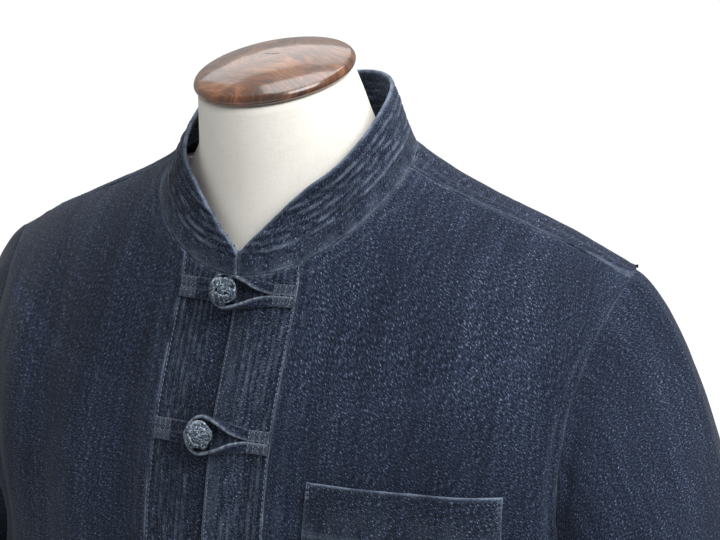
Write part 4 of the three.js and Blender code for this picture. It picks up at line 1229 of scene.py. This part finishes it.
def pocket():
    across = stepped(POCKET_WIDTH, 1.8, CLOTH / 2)
    down = stepped(POCKET_HEIGHT, 1.8, CLOTH / 2)
    x = POCKET_LEFT + across * POCKET_WIDTH
    x, fall = np.meshgrid(x, down)
    share = (x - POCKET_LEFT) / POCKET_WIDTH
    puff = 4 * share * (1 - share) * (1 - fall**3)
    off = CLOTH + POCKET_GAP + POCKET_PUFF * puff
    points, normals = front_at(x, POCKET_TOP - fall * POCKET_HEIGHT, off)
    away = edge_lengths(points)
    u, v = x - POCKET_LEFT, fall * POCKET_HEIGHT
    drape = drape_height(points, FRONT_DRAPES)
    relief = drape + unevenness(u, v, 905) * smooth(0, 3, away["top"])
    hem = away["top"]
    relief += 0.45 * (1 - smooth(POCKET_HEM - 1, POCKET_HEM + 1, hem))
    relief += 0.45 * seam_pucker(np.abs(hem - POCKET_HEM), u, 7, 5, 906)
    relief += 0.35 * seam_pucker(hem, u, 12, 6, 907) * smooth(0, 3, hem)
    worn = np.zeros_like(relief)
    for k, key in enumerate(("top", "first", "last", "bottom")):
        patchy = 0.8 + 0.5 * noise((u + v) / 8, away[key] / 4, 910 + k)
        worn += (0.85 if key == "top" else 0.5) * np.exp(-((away[key] / 1.0) ** 2)) * patchy
        if key != "top":
            relief += 0.3 * (1 - smooth(5, 7, away[key])) + 0.25 * seam_pucker(away[key], u + v, 5, 6, 915 + k)
    worn += 0.3 * np.exp(-(((hem - POCKET_HEM) / 1.3) ** 2))
    worn += 0.07 * (1 + noise(u / 6, v / 9, 930)) * smooth(0, POCKET_HEM, hem)
    points = points + normals * relief[..., None]
    uv = join(u + 4200, v)
    return shell("chest_pocket", points, CLOTH, DOUBLED, uv, np.clip(worn, 0, 1)), points


# Frog closures
TAPE_WIDTH = 6.4
TAPE_THICKNESS = 2.2
FROG_END = 40
PAIR = TAPE_WIDTH / 2 + 0.25
KNOT_X = -1.5
KNOT_OFF = BAND_LIFT + KNOT_RADIUS + 0.3


def tape_section(width, thickness, count=14):
    """A rounded flat section with a slight ridge at each edge."""
    angle = np.linspace(0, 2 * np.pi, count, endpoint=False)
    c, s = np.cos(angle), np.sin(angle)
    wide = width / 2 * np.sign(c) * np.abs(c) ** 0.55
    thick = thickness / 2 * np.sign(s) * np.abs(s) ** 0.65
    ridge = 1 - 0.16 * np.exp(-((wide / (0.22 * width)) ** 2))
    return wide, thick * ridge


def smooth_path(points, count):
    """Even places along a smooth curve through the points."""
    points = np.array(points, float)
    run = run_lengths(points[:, :2], 0)
    table = np.concatenate([run[:, None], points], axis=1)
    return read_table(table, np.linspace(0, run[-1], count))[:, 1:]


def tube_faces(rings, count):
    faces = quads(rings, count, 0, wrap=True, flip=True)
    first = np.arange(count)
    caps = []
    for start, turn in ((0, 1), ((rings - 1) * count, -1)):
        ring = first + start
        for k in range(count // 2 - 1):
            quad = [ring[k], ring[k + 1], ring[count - 2 - k], ring[count - 1 - k]]
            caps.append(quad[::turn])
    return np.concatenate([faces, np.array(caps)])


def tape_object(name, rings, section, seed):
    """A tape from rings of points, worn along both of its edges."""
    wide, thick = section
    count = len(wide)
    points = rings.reshape(-1, 3)
    obj = new_object(name, points, tube_faces(len(rings), count), TRIM)
    centre = rings.mean(axis=1)
    run = run_lengths(centre, 0)
    half = wide.max()
    inner = smooth(0.6, 0.95, wide / half)[None]
    outer = 0.25 * smooth(0.75, 1.0, -wide / half)[None]
    edge = (inner + outer) * (0.75 + 0.5 * noise(run / 1.3, run * 0, seed))[:, None]
    sewn = 1 - smooth(12, 15, np.minimum(run, run[-1] - run))
    twilled = 0.5 + 0.5 * np.sin((run[:, None] + wide[None]) * 3.4)
    edge = edge + 0.5 * (sewn[:, None] * twilled) ** 2
    face_side = (thick > 0)[None]
    uv = join(np.broadcast_to(wide[None] + 40 * face_side, (len(rings), count)), np.broadcast_to(run[:, None], (len(rings), count)))
    uv = uv.reshape(-1, 2) + seed * 13
    faces = np.array([list(p.vertices) for p in obj.data.polygons])
    set_uv(obj.data, uv[faces.reshape(-1)] * MM)
    set_value(obj.data, "worn", np.clip(0.9 * edge, 0, 1))
    return obj


def loop_path():
    """The loop from its sewn end round the knot: x, z, off, flat."""
    turn = KNOT_RADIUS + TAPE_THICKNESS / 2 + 0.3
    upper = [
        (FROG_END, PAIR, 1),
        (33, PAIR, 1),
        (26, PAIR, 1),
        (18, PAIR + 1.6, 0.75),
        (12, PAIR + 3.8, 0.35),
    ]
    bend = [
        (KNOT_X + turn * math.cos(a), turn * math.sin(a), 0)
        for a in np.radians(np.linspace(65, 295, 9))
    ]
    lower = [(x, -z, flat) for x, z, flat in reversed(upper)]
    return smooth_path(upper + bend + lower, 150)


def loop(index, height):
    path = loop_path()
    x, z, flat = path[:, 0], path[:, 1], np.clip(path[:, 2], 0, 1)
    tip = (1 - flat) * np.pi / 2
    below = TAPE_WIDTH / 2 * np.sin(tip) + TAPE_THICKNESS / 2 * np.cos(tip)
    off = band_lift(x) + SEAM_GAP + below
    off = off + 0.25 * noise(run_lengths(path[:, :2], 0) / 7, x * 0, 40 + index) * (1 - flat)
    forward = unit(np.gradient(path[:, :2], axis=0))
    side_x, side_z = -forward[:, 1], forward[:, 0]
    wide, thick = tape_section(TAPE_WIDTH, TAPE_THICKNESS)
    sideways = wide[None] * np.cos(tip)[:, None] - thick[None] * np.sin(tip)[:, None]
    outward = wide[None] * np.sin(tip)[:, None] + thick[None] * np.cos(tip)[:, None]
    points, normals = front_at(
        x[:, None] + side_x[:, None] * sideways,
        height + z[:, None] + side_z[:, None] * sideways,
        off[:, None] + outward,
    )
    obj = tape_object(f"frog_{index}_loop_tape", points, (wide, thick), 50 + index)
    top = int(np.argmax(thick))
    for part in (slice(0, 62), slice(-62, None)):
        line = points[part, top]
        stitch_line("frogs", line, normals[part, top], 0.62, 1, 1)
    # Rows of crosswise stitching hold both strands to the band.
    for x_row in (38.2, 34.6, 31.0, 27.4):
        z_row = np.linspace(-PAIR - 2.9, PAIR + 2.9, 16)
        off_row = band_lift(x_row) + SEAM_GAP + TAPE_THICKNESS
        line, up = front_at(np.full_like(z_row, x_row), height + z_row, np.full_like(z_row, off_row))
        stitch_line("frogs_pale", line, up, 0.7, 0.2, 0.2)
    return obj


TAIL_FROM = -FROG_END
TAIL_TO = OVERLAP_EDGE - 0.7
TAIL_HEIGHT = 2 * PAIR + TAPE_WIDTH


def tail(index, height):
    """The knot's tail: two tapes side by side from the far seam to under the knot."""
    x = TAIL_FROM + (TAIL_TO - TAIL_FROM) * stepped(TAIL_TO - TAIL_FROM, 1.0, TAPE_THICKNESS / 2)
    level = 0.5 - stepped(TAIL_HEIGHT, 0.75, TAPE_THICKNESS / 2)
    x, level = np.meshgrid(x, level)
    strand = (np.abs(level) * TAIL_HEIGHT - PAIR) / (TAPE_WIDTH / 2)
    round_over = -0.9 * np.clip(np.abs(strand), 0, 1.2) ** 4
    groove = -0.8 * np.exp(-((level * TAIL_HEIGHT / 0.55) ** 2))
    relief = round_over * 0.5 + groove + 0.12 * noise(x / 3, level * 5, 60 + index)
    off = SEAM_GAP + TAPE_THICKNESS
    points, normals = front_at(x, height + level * TAIL_HEIGHT, off + relief)
    worn = 0.22 * smooth(0.6, 1.0, np.abs(strand)) * (0.7 + 0.5 * noise(x / 4, level * 6, 70 + index))
    twilled = 0.5 + 0.5 * np.sin((x + level * TAIL_HEIGHT) * 3.4)
    worn += 0.5 * ((1 - smooth(12, 15, x - TAIL_FROM)) * twilled) ** 2
    uv = join(level * TAIL_HEIGHT + 5000 + index * 31, x)
    obj = shell(f"frog_{index}_tail_tape", points, TAPE_THICKNESS, TRIM, uv, np.clip(worn, 0, 1))
    for z_mid in (PAIR, -PAIR):
        x_line = np.linspace(TAIL_FROM + 1, -9, 30)
        line, up = front_at(x_line, height + z_mid + x_line * 0, off + x_line * 0)
        stitch_line("frogs", line, up, 0.62, 1, 1)
    for x_row in (-38.2, -34.6, -31.0, -27.4):
        z_row = np.linspace(-PAIR - 2.9, PAIR + 2.9, 16)
        line, up = front_at(np.full_like(z_row, x_row), height + z_row, np.full_like(z_row, off - 0.05))
        stitch_line("frogs_pale", line, up, 0.7, 0.2, 0.2)
    return obj


STRAND_WIDTH = 3.5
STRAND_THICKNESS = 1.7
STRAND_RADIUS = 7.6
STRAND_WEAVE = 0.62
KNOT_LEADS = 4
KNOT_BIGHTS = 5
KNOT_REACH = 68


def knot(index, height):
    """A woven ball: one flat strand wound over and under itself."""
    centre, normal = front_at(np.array([KNOT_X]), np.array([height]), np.array([KNOT_OFF]))
    centre, normal = centre[0], normal[0]
    side = unit(np.array([1, 0, 0]) - normal * normal[0])
    up = np.cross(normal, side)
    turn = math.radians(17 + 40 * index)
    side, up = side * math.cos(turn) + up * math.sin(turn), up * math.cos(turn) - side * math.sin(turn)
    count = 420
    t = np.linspace(0, 2 * np.pi, count, endpoint=False)
    longitude = KNOT_LEADS * t
    latitude = math.radians(KNOT_REACH) * np.cos(KNOT_BIGHTS * t)
    radius = STRAND_RADIUS + STRAND_WEAVE * np.sin((KNOT_LEADS - 1) * KNOT_BIGHTS * t)
    radial = join(np.cos(latitude) * np.cos(longitude), np.cos(latitude) * np.sin(longitude), np.sin(latitude))
    path = radial * radius[:, None]
    ahead = unit(np.roll(path, -1, axis=0) - np.roll(path, 1, axis=0))
    across = unit(np.cross(ahead, radial))
    out = unit(np.cross(across, ahead))
    wide, thick = tape_section(STRAND_WIDTH, STRAND_THICKNESS, 12)
    # The strand hugs the ball, so its edges bend toward the middle.
    bend = -(wide**2) / (2 * STRAND_RADIUS)
    ring = path[:, None] + across[:, None] * wide[None, :, None] + out[:, None] * (thick + bend)[None, :, None]
    sections = len(wide)
    faces = quads(count, sections, 0, wrap=True)
    closing = np.stack(
        [
            (count - 1) * sections + np.arange(sections),
            np.arange(sections),
            (np.arange(sections) + 1) % sections,
            (count - 1) * sections + (np.arange(sections) + 1) % sections,
        ],
        axis=-1,
    )
    faces = np.concatenate([faces, closing])
    # A round core closes the holes of the weave.
    stacks, around = 14, 24
    v = np.linspace(0.08, np.pi - 0.08, stacks)[:, None]
    h = np.linspace(0, 2 * np.pi, around, endpoint=False)[None]
    core = 6.9 * join(np.sin(v) * np.cos(h), np.sin(v) * np.sin(h), np.cos(v) + 0 * h)
    core_faces = quads(stacks, around, count * sections, wrap=True)
    lids = []
    for first in (count * sections, count * sections + (stacks - 1) * around):
        for k in range(around // 2 - 1):
            lids.append([first + k, first + k + 1, first + around - 2 - k, first + around - 1 - k])
    local = np.concatenate([ring.reshape(-1, 3), core.reshape(-1, 3)])
    points = centre + local[:, :1] * side + local[:, 1:2] * up + local[:, 2:] * normal
    faces = np.concatenate([faces, core_faces, np.array(lids)])
    obj = new_object(f"frog_{index}_knot_ball", points, faces, WOVEN)
    run = np.arange(count) * 0.45
    edge = smooth(0.6, 1.0, np.abs(wide) / wide.max())[None] * (0.7 + 0.5 * noise(run / 3, run * 0, 80 + index))[:, None]
    worn = np.concatenate([(0.05 + 0.75 * edge).reshape(-1), np.zeros(stacks * around)])
    strand_uv = join(np.broadcast_to(wide[None], (count, sections)), np.broadcast_to(run[:, None], (count, sections)))
    uv = np.concatenate([strand_uv.reshape(-1, 2), core.reshape(-1, 3)[:, :2]]) + 5600 + 37 * index
    set_uv(obj.data, uv[faces.reshape(-1)] * MM)
    set_value(obj.data, "worn", np.clip(0.95 * worn, 0, 1))
    return obj


# Dress form
FORM_CLEARANCE = [
    (0.03, 4, 1.8),
    (0.1, 3, 0.9),
    (0.15, 3, 1),
    (0.2, 3, 4),
    (0.24, 3.4, 7),
    (0.3, 4, 8),
    (0.4, 6, 44),
    (0.6, 26, 64),
    (0.85, 16, 46),
    (1, 20, 50),
]
FORM_ROWS = (0.03, 0.065, 0.1, 0.15, 0.2, 0.25, 0.3, 0.35, 0.4, 0.47, 0.55, 0.63, 0.71, 0.79, 0.87, 0.94, 1)
FORM_SIDE_END = 0.97
FORM_BOTTOM = [(-735, 0.985), (-745, 0.93)]
# Neck sections: height, dip of the front, lift of the back, half width, front, back, bend of the dip
NECK_RINGS = [
    (-14, 58, 8, 74, -72, 49, 1.4),
    (-4, 52, 10, 65, -68, 42, 1.4),
    (10, 38, 14, 57, -68, 37, 1.3),
    (26, 24, 16, 52, -74, 31, 1.1),
    (41, 16.2, 16.2, 48, -79, 23, 1),
]
CAP_Y = -28
CAP_Z = 41
CAP_TILT = 17.6
CAP_HALF_WIDTH = 50
CAP_HALF_LENGTH = 56
CAP_RIM = 9
CAP_DOME = 15


def form_ring(row, cells, plate_cells):
    """One ring of the torso under the cloth, with a rounded plate where an arm would be."""
    clear = read_table(FORM_CLEARANCE, np.array(row))

    def at(across, back):
        depth = CLOTH + clear[1] + (clear[2] - clear[1]) * across * across
        normal = seam_normal(across, np.full_like(across, row), back)
        return row_point(across, row, back) - normal * depth[..., None]

    front = at(np.linspace(0, FORM_SIDE_END, cells + 1), False)
    back = at(np.linspace(FORM_SIDE_END, 0, cells + 1), True)
    a, d = front[-1], back[0]
    handle = np.linalg.norm(a - d) * 0.36 * float(smooth(ROW_TIP, ROW_TIP + 0.05, row))
    b = a + unit(a - front[-2]) * handle
    c = d + unit(d - back[1]) * handle
    share = (np.arange(1, plate_cells) / plate_cells)[:, None]
    open_plate = bezier(a, b, c, d, share)
    one = np.array([1.0])
    tip = (at(one, False) + at(one, True))[0] / 2
    hugging = np.where(share < 0.5, a + (tip - a) * share * 2, tip + (d - tip) * (share * 2 - 1))
    open_share = float(smooth(ROW_TIP - 0.05, ROW_TIP, row))
    plate = hugging * (1 - open_share) + open_plate * open_share
    half = np.concatenate([front, plate, back])
    other = half[1:-1][::-1] * np.array([-1, 1, 1])
    return np.concatenate([half, other])


def neck_ring(z, dip, lift, half, front, back, bend, count):
    angle = 2 * np.pi * np.arange(count) / count
    c, s = np.cos(angle), np.sin(angle)
    height = np.where(c > 0, z - dip * np.abs(c) ** bend, z - lift * c)
    return join(half * s, (front + back) / 2 - (back - front) / 2 * c, height)


def form_body():
    torso = [form_ring(row, 30, 10) for row in FORM_ROWS]
    hem = torso[-1]
    centre = hem.mean(axis=0)
    foot = []
    for z, scale in FORM_BOTTOM:
        ring = hem * np.array([scale, 1, 0]) + np.array([0, 0, z])
        ring[:, 1] = centre[1] + (hem[:, 1] - centre[1]) * scale
        foot.append(ring)
    neck = [neck_ring(*ring, len(hem)) for ring in NECK_RINGS]
    rings = np.array(neck[::-1] + torso)
    places = np.arange(len(rings), dtype=float)
    flat = np.concatenate([places[:, None], rings.reshape(len(rings), -1)], axis=1)
    fine = read_table(flat, np.linspace(0, len(rings) - 1, (len(rings) - 1) * 5 + 1))[:, 1:]
    fine = np.concatenate([fine.reshape(-1, len(hem), 3), np.array(foot)])
    rows, count = fine.shape[:2]
    top, bottom = fine[0].mean(axis=0), fine[-1].mean(axis=0)
    shrink = [(ring - middle) * s + middle for ring, middle, s in ((fine[0], top, 0.5), (fine[-1], bottom, 0.5))]
    grid = np.concatenate([shrink[0][None], fine, shrink[1][None]])
    faces = quads(rows + 2, count, 0, wrap=True)
    lids = []
    for first, turn in ((0, -1), ((rows + 1) * count, 1)):
        for k in range(count // 2 - 1):
            lids.append([first + k, first + k + 1, first + count - 2 - k, first + count - 1 - k][::turn])
    faces = np.concatenate([faces, np.array(lids)])
    obj = new_object("form_torso", grid.reshape(-1, 3), faces, LINEN)
    run = np.arange(count) / count * 420
    down = run_lengths(grid, 0)[:, count // 8]
    uv = join(np.broadcast_to(run[None], grid.shape[:2]), np.broadcast_to(down[:, None], grid.shape[:2])).reshape(-1, 2)
    set_uv(obj.data, uv[faces.reshape(-1)] * MM)
    return obj


def turned(name, profile, sides, material_used, slot, place=(0, 0, 0), tilt=0.0, stretch=1.0):
    """A body turned about its axis from a profile of (radius, height)."""
    profile = np.array(profile, float)
    angle = np.linspace(0, 2 * np.pi, sides, endpoint=False)
    r, h = profile[:, :1], profile[:, 1:]
    grid = join(r * np.cos(angle), r * np.sin(angle) * stretch, h + 0 * angle)
    grid = grid[::-1]
    faces = list(quads(len(profile), sides, 0, wrap=True))
    for first, turn in ((0, -1), ((len(profile) - 1) * sides, 1)):
        for k in range(sides // 2 - 1):
            faces.append([first + k, first + k + 1, first + sides - 2 - k, first + sides - 1 - k][::turn])
    lean = math.radians(tilt)
    y = grid[..., 1] * math.cos(lean) - grid[..., 2] * math.sin(lean)
    z = grid[..., 1] * math.sin(lean) + grid[..., 2] * math.cos(lean)
    points = join(grid[..., 0], y, z) + np.array(place)
    return new_object(name, points.reshape(-1, 3), np.array([list(f) for f in faces]), material_used)


def rounded_profile(corners, radius, count=6):
    """A profile with its inner corners rounded."""
    out = [corners[0]]
    for before, here, after in zip(corners, corners[1:], corners[2:]):
        b, h, a = (np.array(p, float) for p in (before, here, after))
        reach = min(radius, np.linalg.norm(b - h) * 0.45, np.linalg.norm(a - h) * 0.45)
        start, end = h + unit(b - h) * reach, h + unit(a - h) * reach
        for k in np.linspace(0, 1, count):
            out.append(tuple((1 - k) ** 2 * start + 2 * k * (1 - k) * h + k * k * end))
    out.append(corners[-1])
    return out


def form_cap():
    half = CAP_HALF_WIDTH
    corners = [
        (0.5, 0),
        (half * 0.9, 0),
        (half * 0.98, CAP_RIM * 0.2),
        (half, CAP_RIM * 0.5),
        (half * 0.97, CAP_RIM * 0.82),
        (half * 0.8, CAP_RIM * 1.15),
        (half * 0.5, CAP_DOME * 0.92),
        (half * 0.2, CAP_DOME),
        (0.5, CAP_DOME),
    ]
    profile = rounded_profile(corners, 30, 8)
    place = (0, CAP_Y, CAP_Z + SEAM_GAP + 0.3)
    return turned("cap_turned", profile, 128, WOOD, "cap_wood", place, CAP_TILT, CAP_HALF_LENGTH / half)


BASE_RADIUS = 160
BASE_THICKNESS = 8
HUB_RADIUS = 34
HUB_HEIGHT = 26
STEM_RADIUS = 17
STEM_GAP = 0.3


def stand():
    ground = np.array([0, 0, -NAPE_HEIGHT])
    foot = BASE_THICKNESS + SEAM_GAP
    plate = [(0.5, 0), (BASE_RADIUS, 0), (BASE_RADIUS, BASE_THICKNESS), (0.5, BASE_THICKNESS)]
    hub = [
        (0.5, foot),
        (HUB_RADIUS, foot),
        (HUB_RADIUS, foot + 4),
        (HUB_RADIUS - 6, HUB_HEIGHT),
        (0.5, HUB_HEIGHT),
    ]
    top = NAPE_HEIGHT + FORM_BOTTOM[1][0] - STEM_GAP
    low = HUB_HEIGHT + STEM_GAP
    stem = [(0.5, low), (STEM_RADIUS, low), (STEM_RADIUS, top), (0.5, top)]
    pieces = {}
    for name, corners, radius in (("base", plate, 2), ("hub", hub, 2.5), ("stem", stem, 0.8)):
        profile = rounded_profile(corners, radius)
        pieces[name] = turned(f"stand_{name}", profile, 144, STEEL, "stand_steel", ground)
    return pieces


# Build the pieces
front_left, front_left_points = front_panel(True)
front_right, front_right_points = front_panel(False)
back, back_points = back_panel()
band_left, band_left_points = band(True)
band_right, band_right_points = band(False)
collar_piece, collar_points = collar()
sleeve_left, sleeve_left_points = sleeve(True)
sleeve_right, sleeve_right_points = sleeve(False)
pocket_piece, pocket_points = pocket()
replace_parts(front_left, "front_left")
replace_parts(front_right, "front_right")
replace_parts(back, "back")
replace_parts(band_left, "band_left")
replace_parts(band_right, "band_right")
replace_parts(collar_piece, "collar")
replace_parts(sleeve_left, "sleeve_left")
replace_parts(sleeve_right, "sleeve_right")
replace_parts(pocket_piece, "pocket")

loops, tails, knots = [], [], []
for number in range(FROG_COUNT):
    level = centre_height(FROG_FIRST_DROP + number * FROG_SPACING)
    tails.append(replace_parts(tail(number + 1, level), f"frog_{number + 1}_tail"))
    loops.append(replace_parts(loop(number + 1, level), f"frog_{number + 1}_loop"))
    knots.append(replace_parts(knot(number + 1, level), f"frog_{number + 1}_knot"))

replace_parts(form_body(), "form_body")
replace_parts(form_cap(), "form_cap")
for part_name, piece in stand().items():
    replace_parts(piece, f"form_{part_name}")

# Stitching
EDGE_STITCH = 2.2
for group, points, seam_edge in (
    ("front_left", front_left_points, "first"),
    ("front_right", front_right_points, "last"),
):
    sew(group, points, seam_edge, 2.0)
    sew(group, points, "bottom", HEM_DEPTH - 2)
sew("back", back_points, "bottom", HEM_DEPTH - 2)
zones = {"shoulder": (0, 0.2), "armhole": (0.21, 0.42), "side": (0.43, 0.99)}
for edge in ("first", "last"):
    for inset in (1.6, 7.4):
        sew("back", back_points, edge, inset, part=(0.005, 0.205))
    sew("back", back_points, edge, 7.2, part=(0.26, 0.44))
    sew("back", back_points, edge, 2.0, part=(0.47, 0.99))
sew("front_left", front_left_points, "last", 6.8, part=(0.215, 0.44))
sew("front_right", front_right_points, "first", 6.8, part=(0.215, 0.44))
for column in np.arange(TUCK_FIRST, TUCK_LAST, TUCK_SPACING):
    sew("bands", band_left_points, "first", column - OVERLAP_EDGE, 0.8)
    sew("bands", band_right_points, "first", BAND_WIDTH - column, 0.8)
sew("bands_pale", band_left_points, "first", 1.6, 0.8)
sew("bands_pale", band_left_points, "last", 1.5)
sew("bands_pale", band_right_points, "first", 1.5)
low, high, spacing = COLLAR_TUCKS
sew("collar", collar_points, "bottom", EDGE_STITCH)
sew("collar", collar_points, "top", 2.6)
for column in np.arange(low, high + 0.1, spacing):
    sew("collar", collar_points, "bottom", column, 0.8, part=(0.1, 0.9))
for side, points in (("left", sleeve_left_points), ("right", sleeve_right_points)):
    closed = np.concatenate([points, points[:, :1]], axis=1)
    sew(f"sleeve_{side}", closed, "bottom", HEM_DEPTH - 2)
for edge, inset in (("first", 2.0), ("last", 2.0), ("bottom", 2.0), ("top", POCKET_HEM - 1.5)):
    sew("pocket", pocket_points, edge, inset)
# Bar tacks at the pocket's upper corners
for edge in ("first", "last"):
    for inset in (1.2, 2.0, 2.8):
        line, up = inset_line(pocket_points, edge, inset)
        stitch_line("tacks", line[4:10], up[4:10], 0.9, 0.1, 0.1)
for group in stitch_sets:
    pale = group in ("frogs_pale", "bands_pale", "tacks")
    make_stitches(group, PALE_THREAD if pale else THREAD)


# Stage and light
FLOOR_RADIUS = 1.25


def floor():
    mesh = bpy.data.meshes.new("floor")
    angle = np.linspace(0, 2 * np.pi, 128, endpoint=False)
    rim = join(FLOOR_RADIUS * np.cos(angle), FLOOR_RADIUS * np.sin(angle), 0)
    mesh.from_pydata(rim.tolist(), [], [list(range(len(rim)))])
    pale, _, shader = material("floor", Roughness=0.8)
    shader.inputs["Base Color"].default_value = srgb(244, 244, 244)
    mesh.materials.append(pale)
    obj = bpy.data.objects.new("floor", mesh)
    bpy.context.scene.collection.objects.link(obj)


def area_light(name, place, target, size, power, colour=(1, 1, 1)):
    data = bpy.data.lights.new(name, "AREA")
    data.shape = "RECTANGLE"
    data.size, data.size_y = size
    data.energy = power
    data.color = colour
    obj = bpy.data.objects.new(name, data)
    obj.location = place
    obj.rotation_euler = (Vector(target) - Vector(place)).to_track_quat("-Z", "Y").to_euler()
    bpy.context.scene.collection.objects.link(obj)


def light():
    """A white backdrop that lights the cloth less than it shows, a key from the right and a back light."""
    world = bpy.data.worlds.new("studio")
    world.use_nodes = True
    tree = world.node_tree
    background = tree.nodes["Background"]
    background.inputs["Color"].default_value = (1, 1, 1, 1)
    seen = tree.nodes.new("ShaderNodeLightPath").outputs["Is Camera Ray"]
    strength = maths(tree, "MULTIPLY_ADD", seen, BACKDROP - FILL)
    strength.node.inputs[2].default_value = FILL
    tree.links.new(strength, background.inputs["Strength"])
    bpy.context.scene.world = world
    area_light("key", (1.5, -0.55, 2.0), (0.05, 0, 0.72), (1.3, 1.0), KEY_POWER)
    area_light("top", (0.25, 0.2, 2.3), (0, 0, 0.8), (1.5, 1.2), TOP_POWER)
    area_light("back", (-0.65, 0.9, 1.85), (0, -0.03, 0.9), (0.9, 0.6), BACK_POWER)


BACKDROP = 1.05
FILL = 0.37
KEY_POWER = 37
TOP_POWER = 20
BACK_POWER = 2.2


floor()
light()
bpy.context.scene.view_settings.view_transform = "Standard"
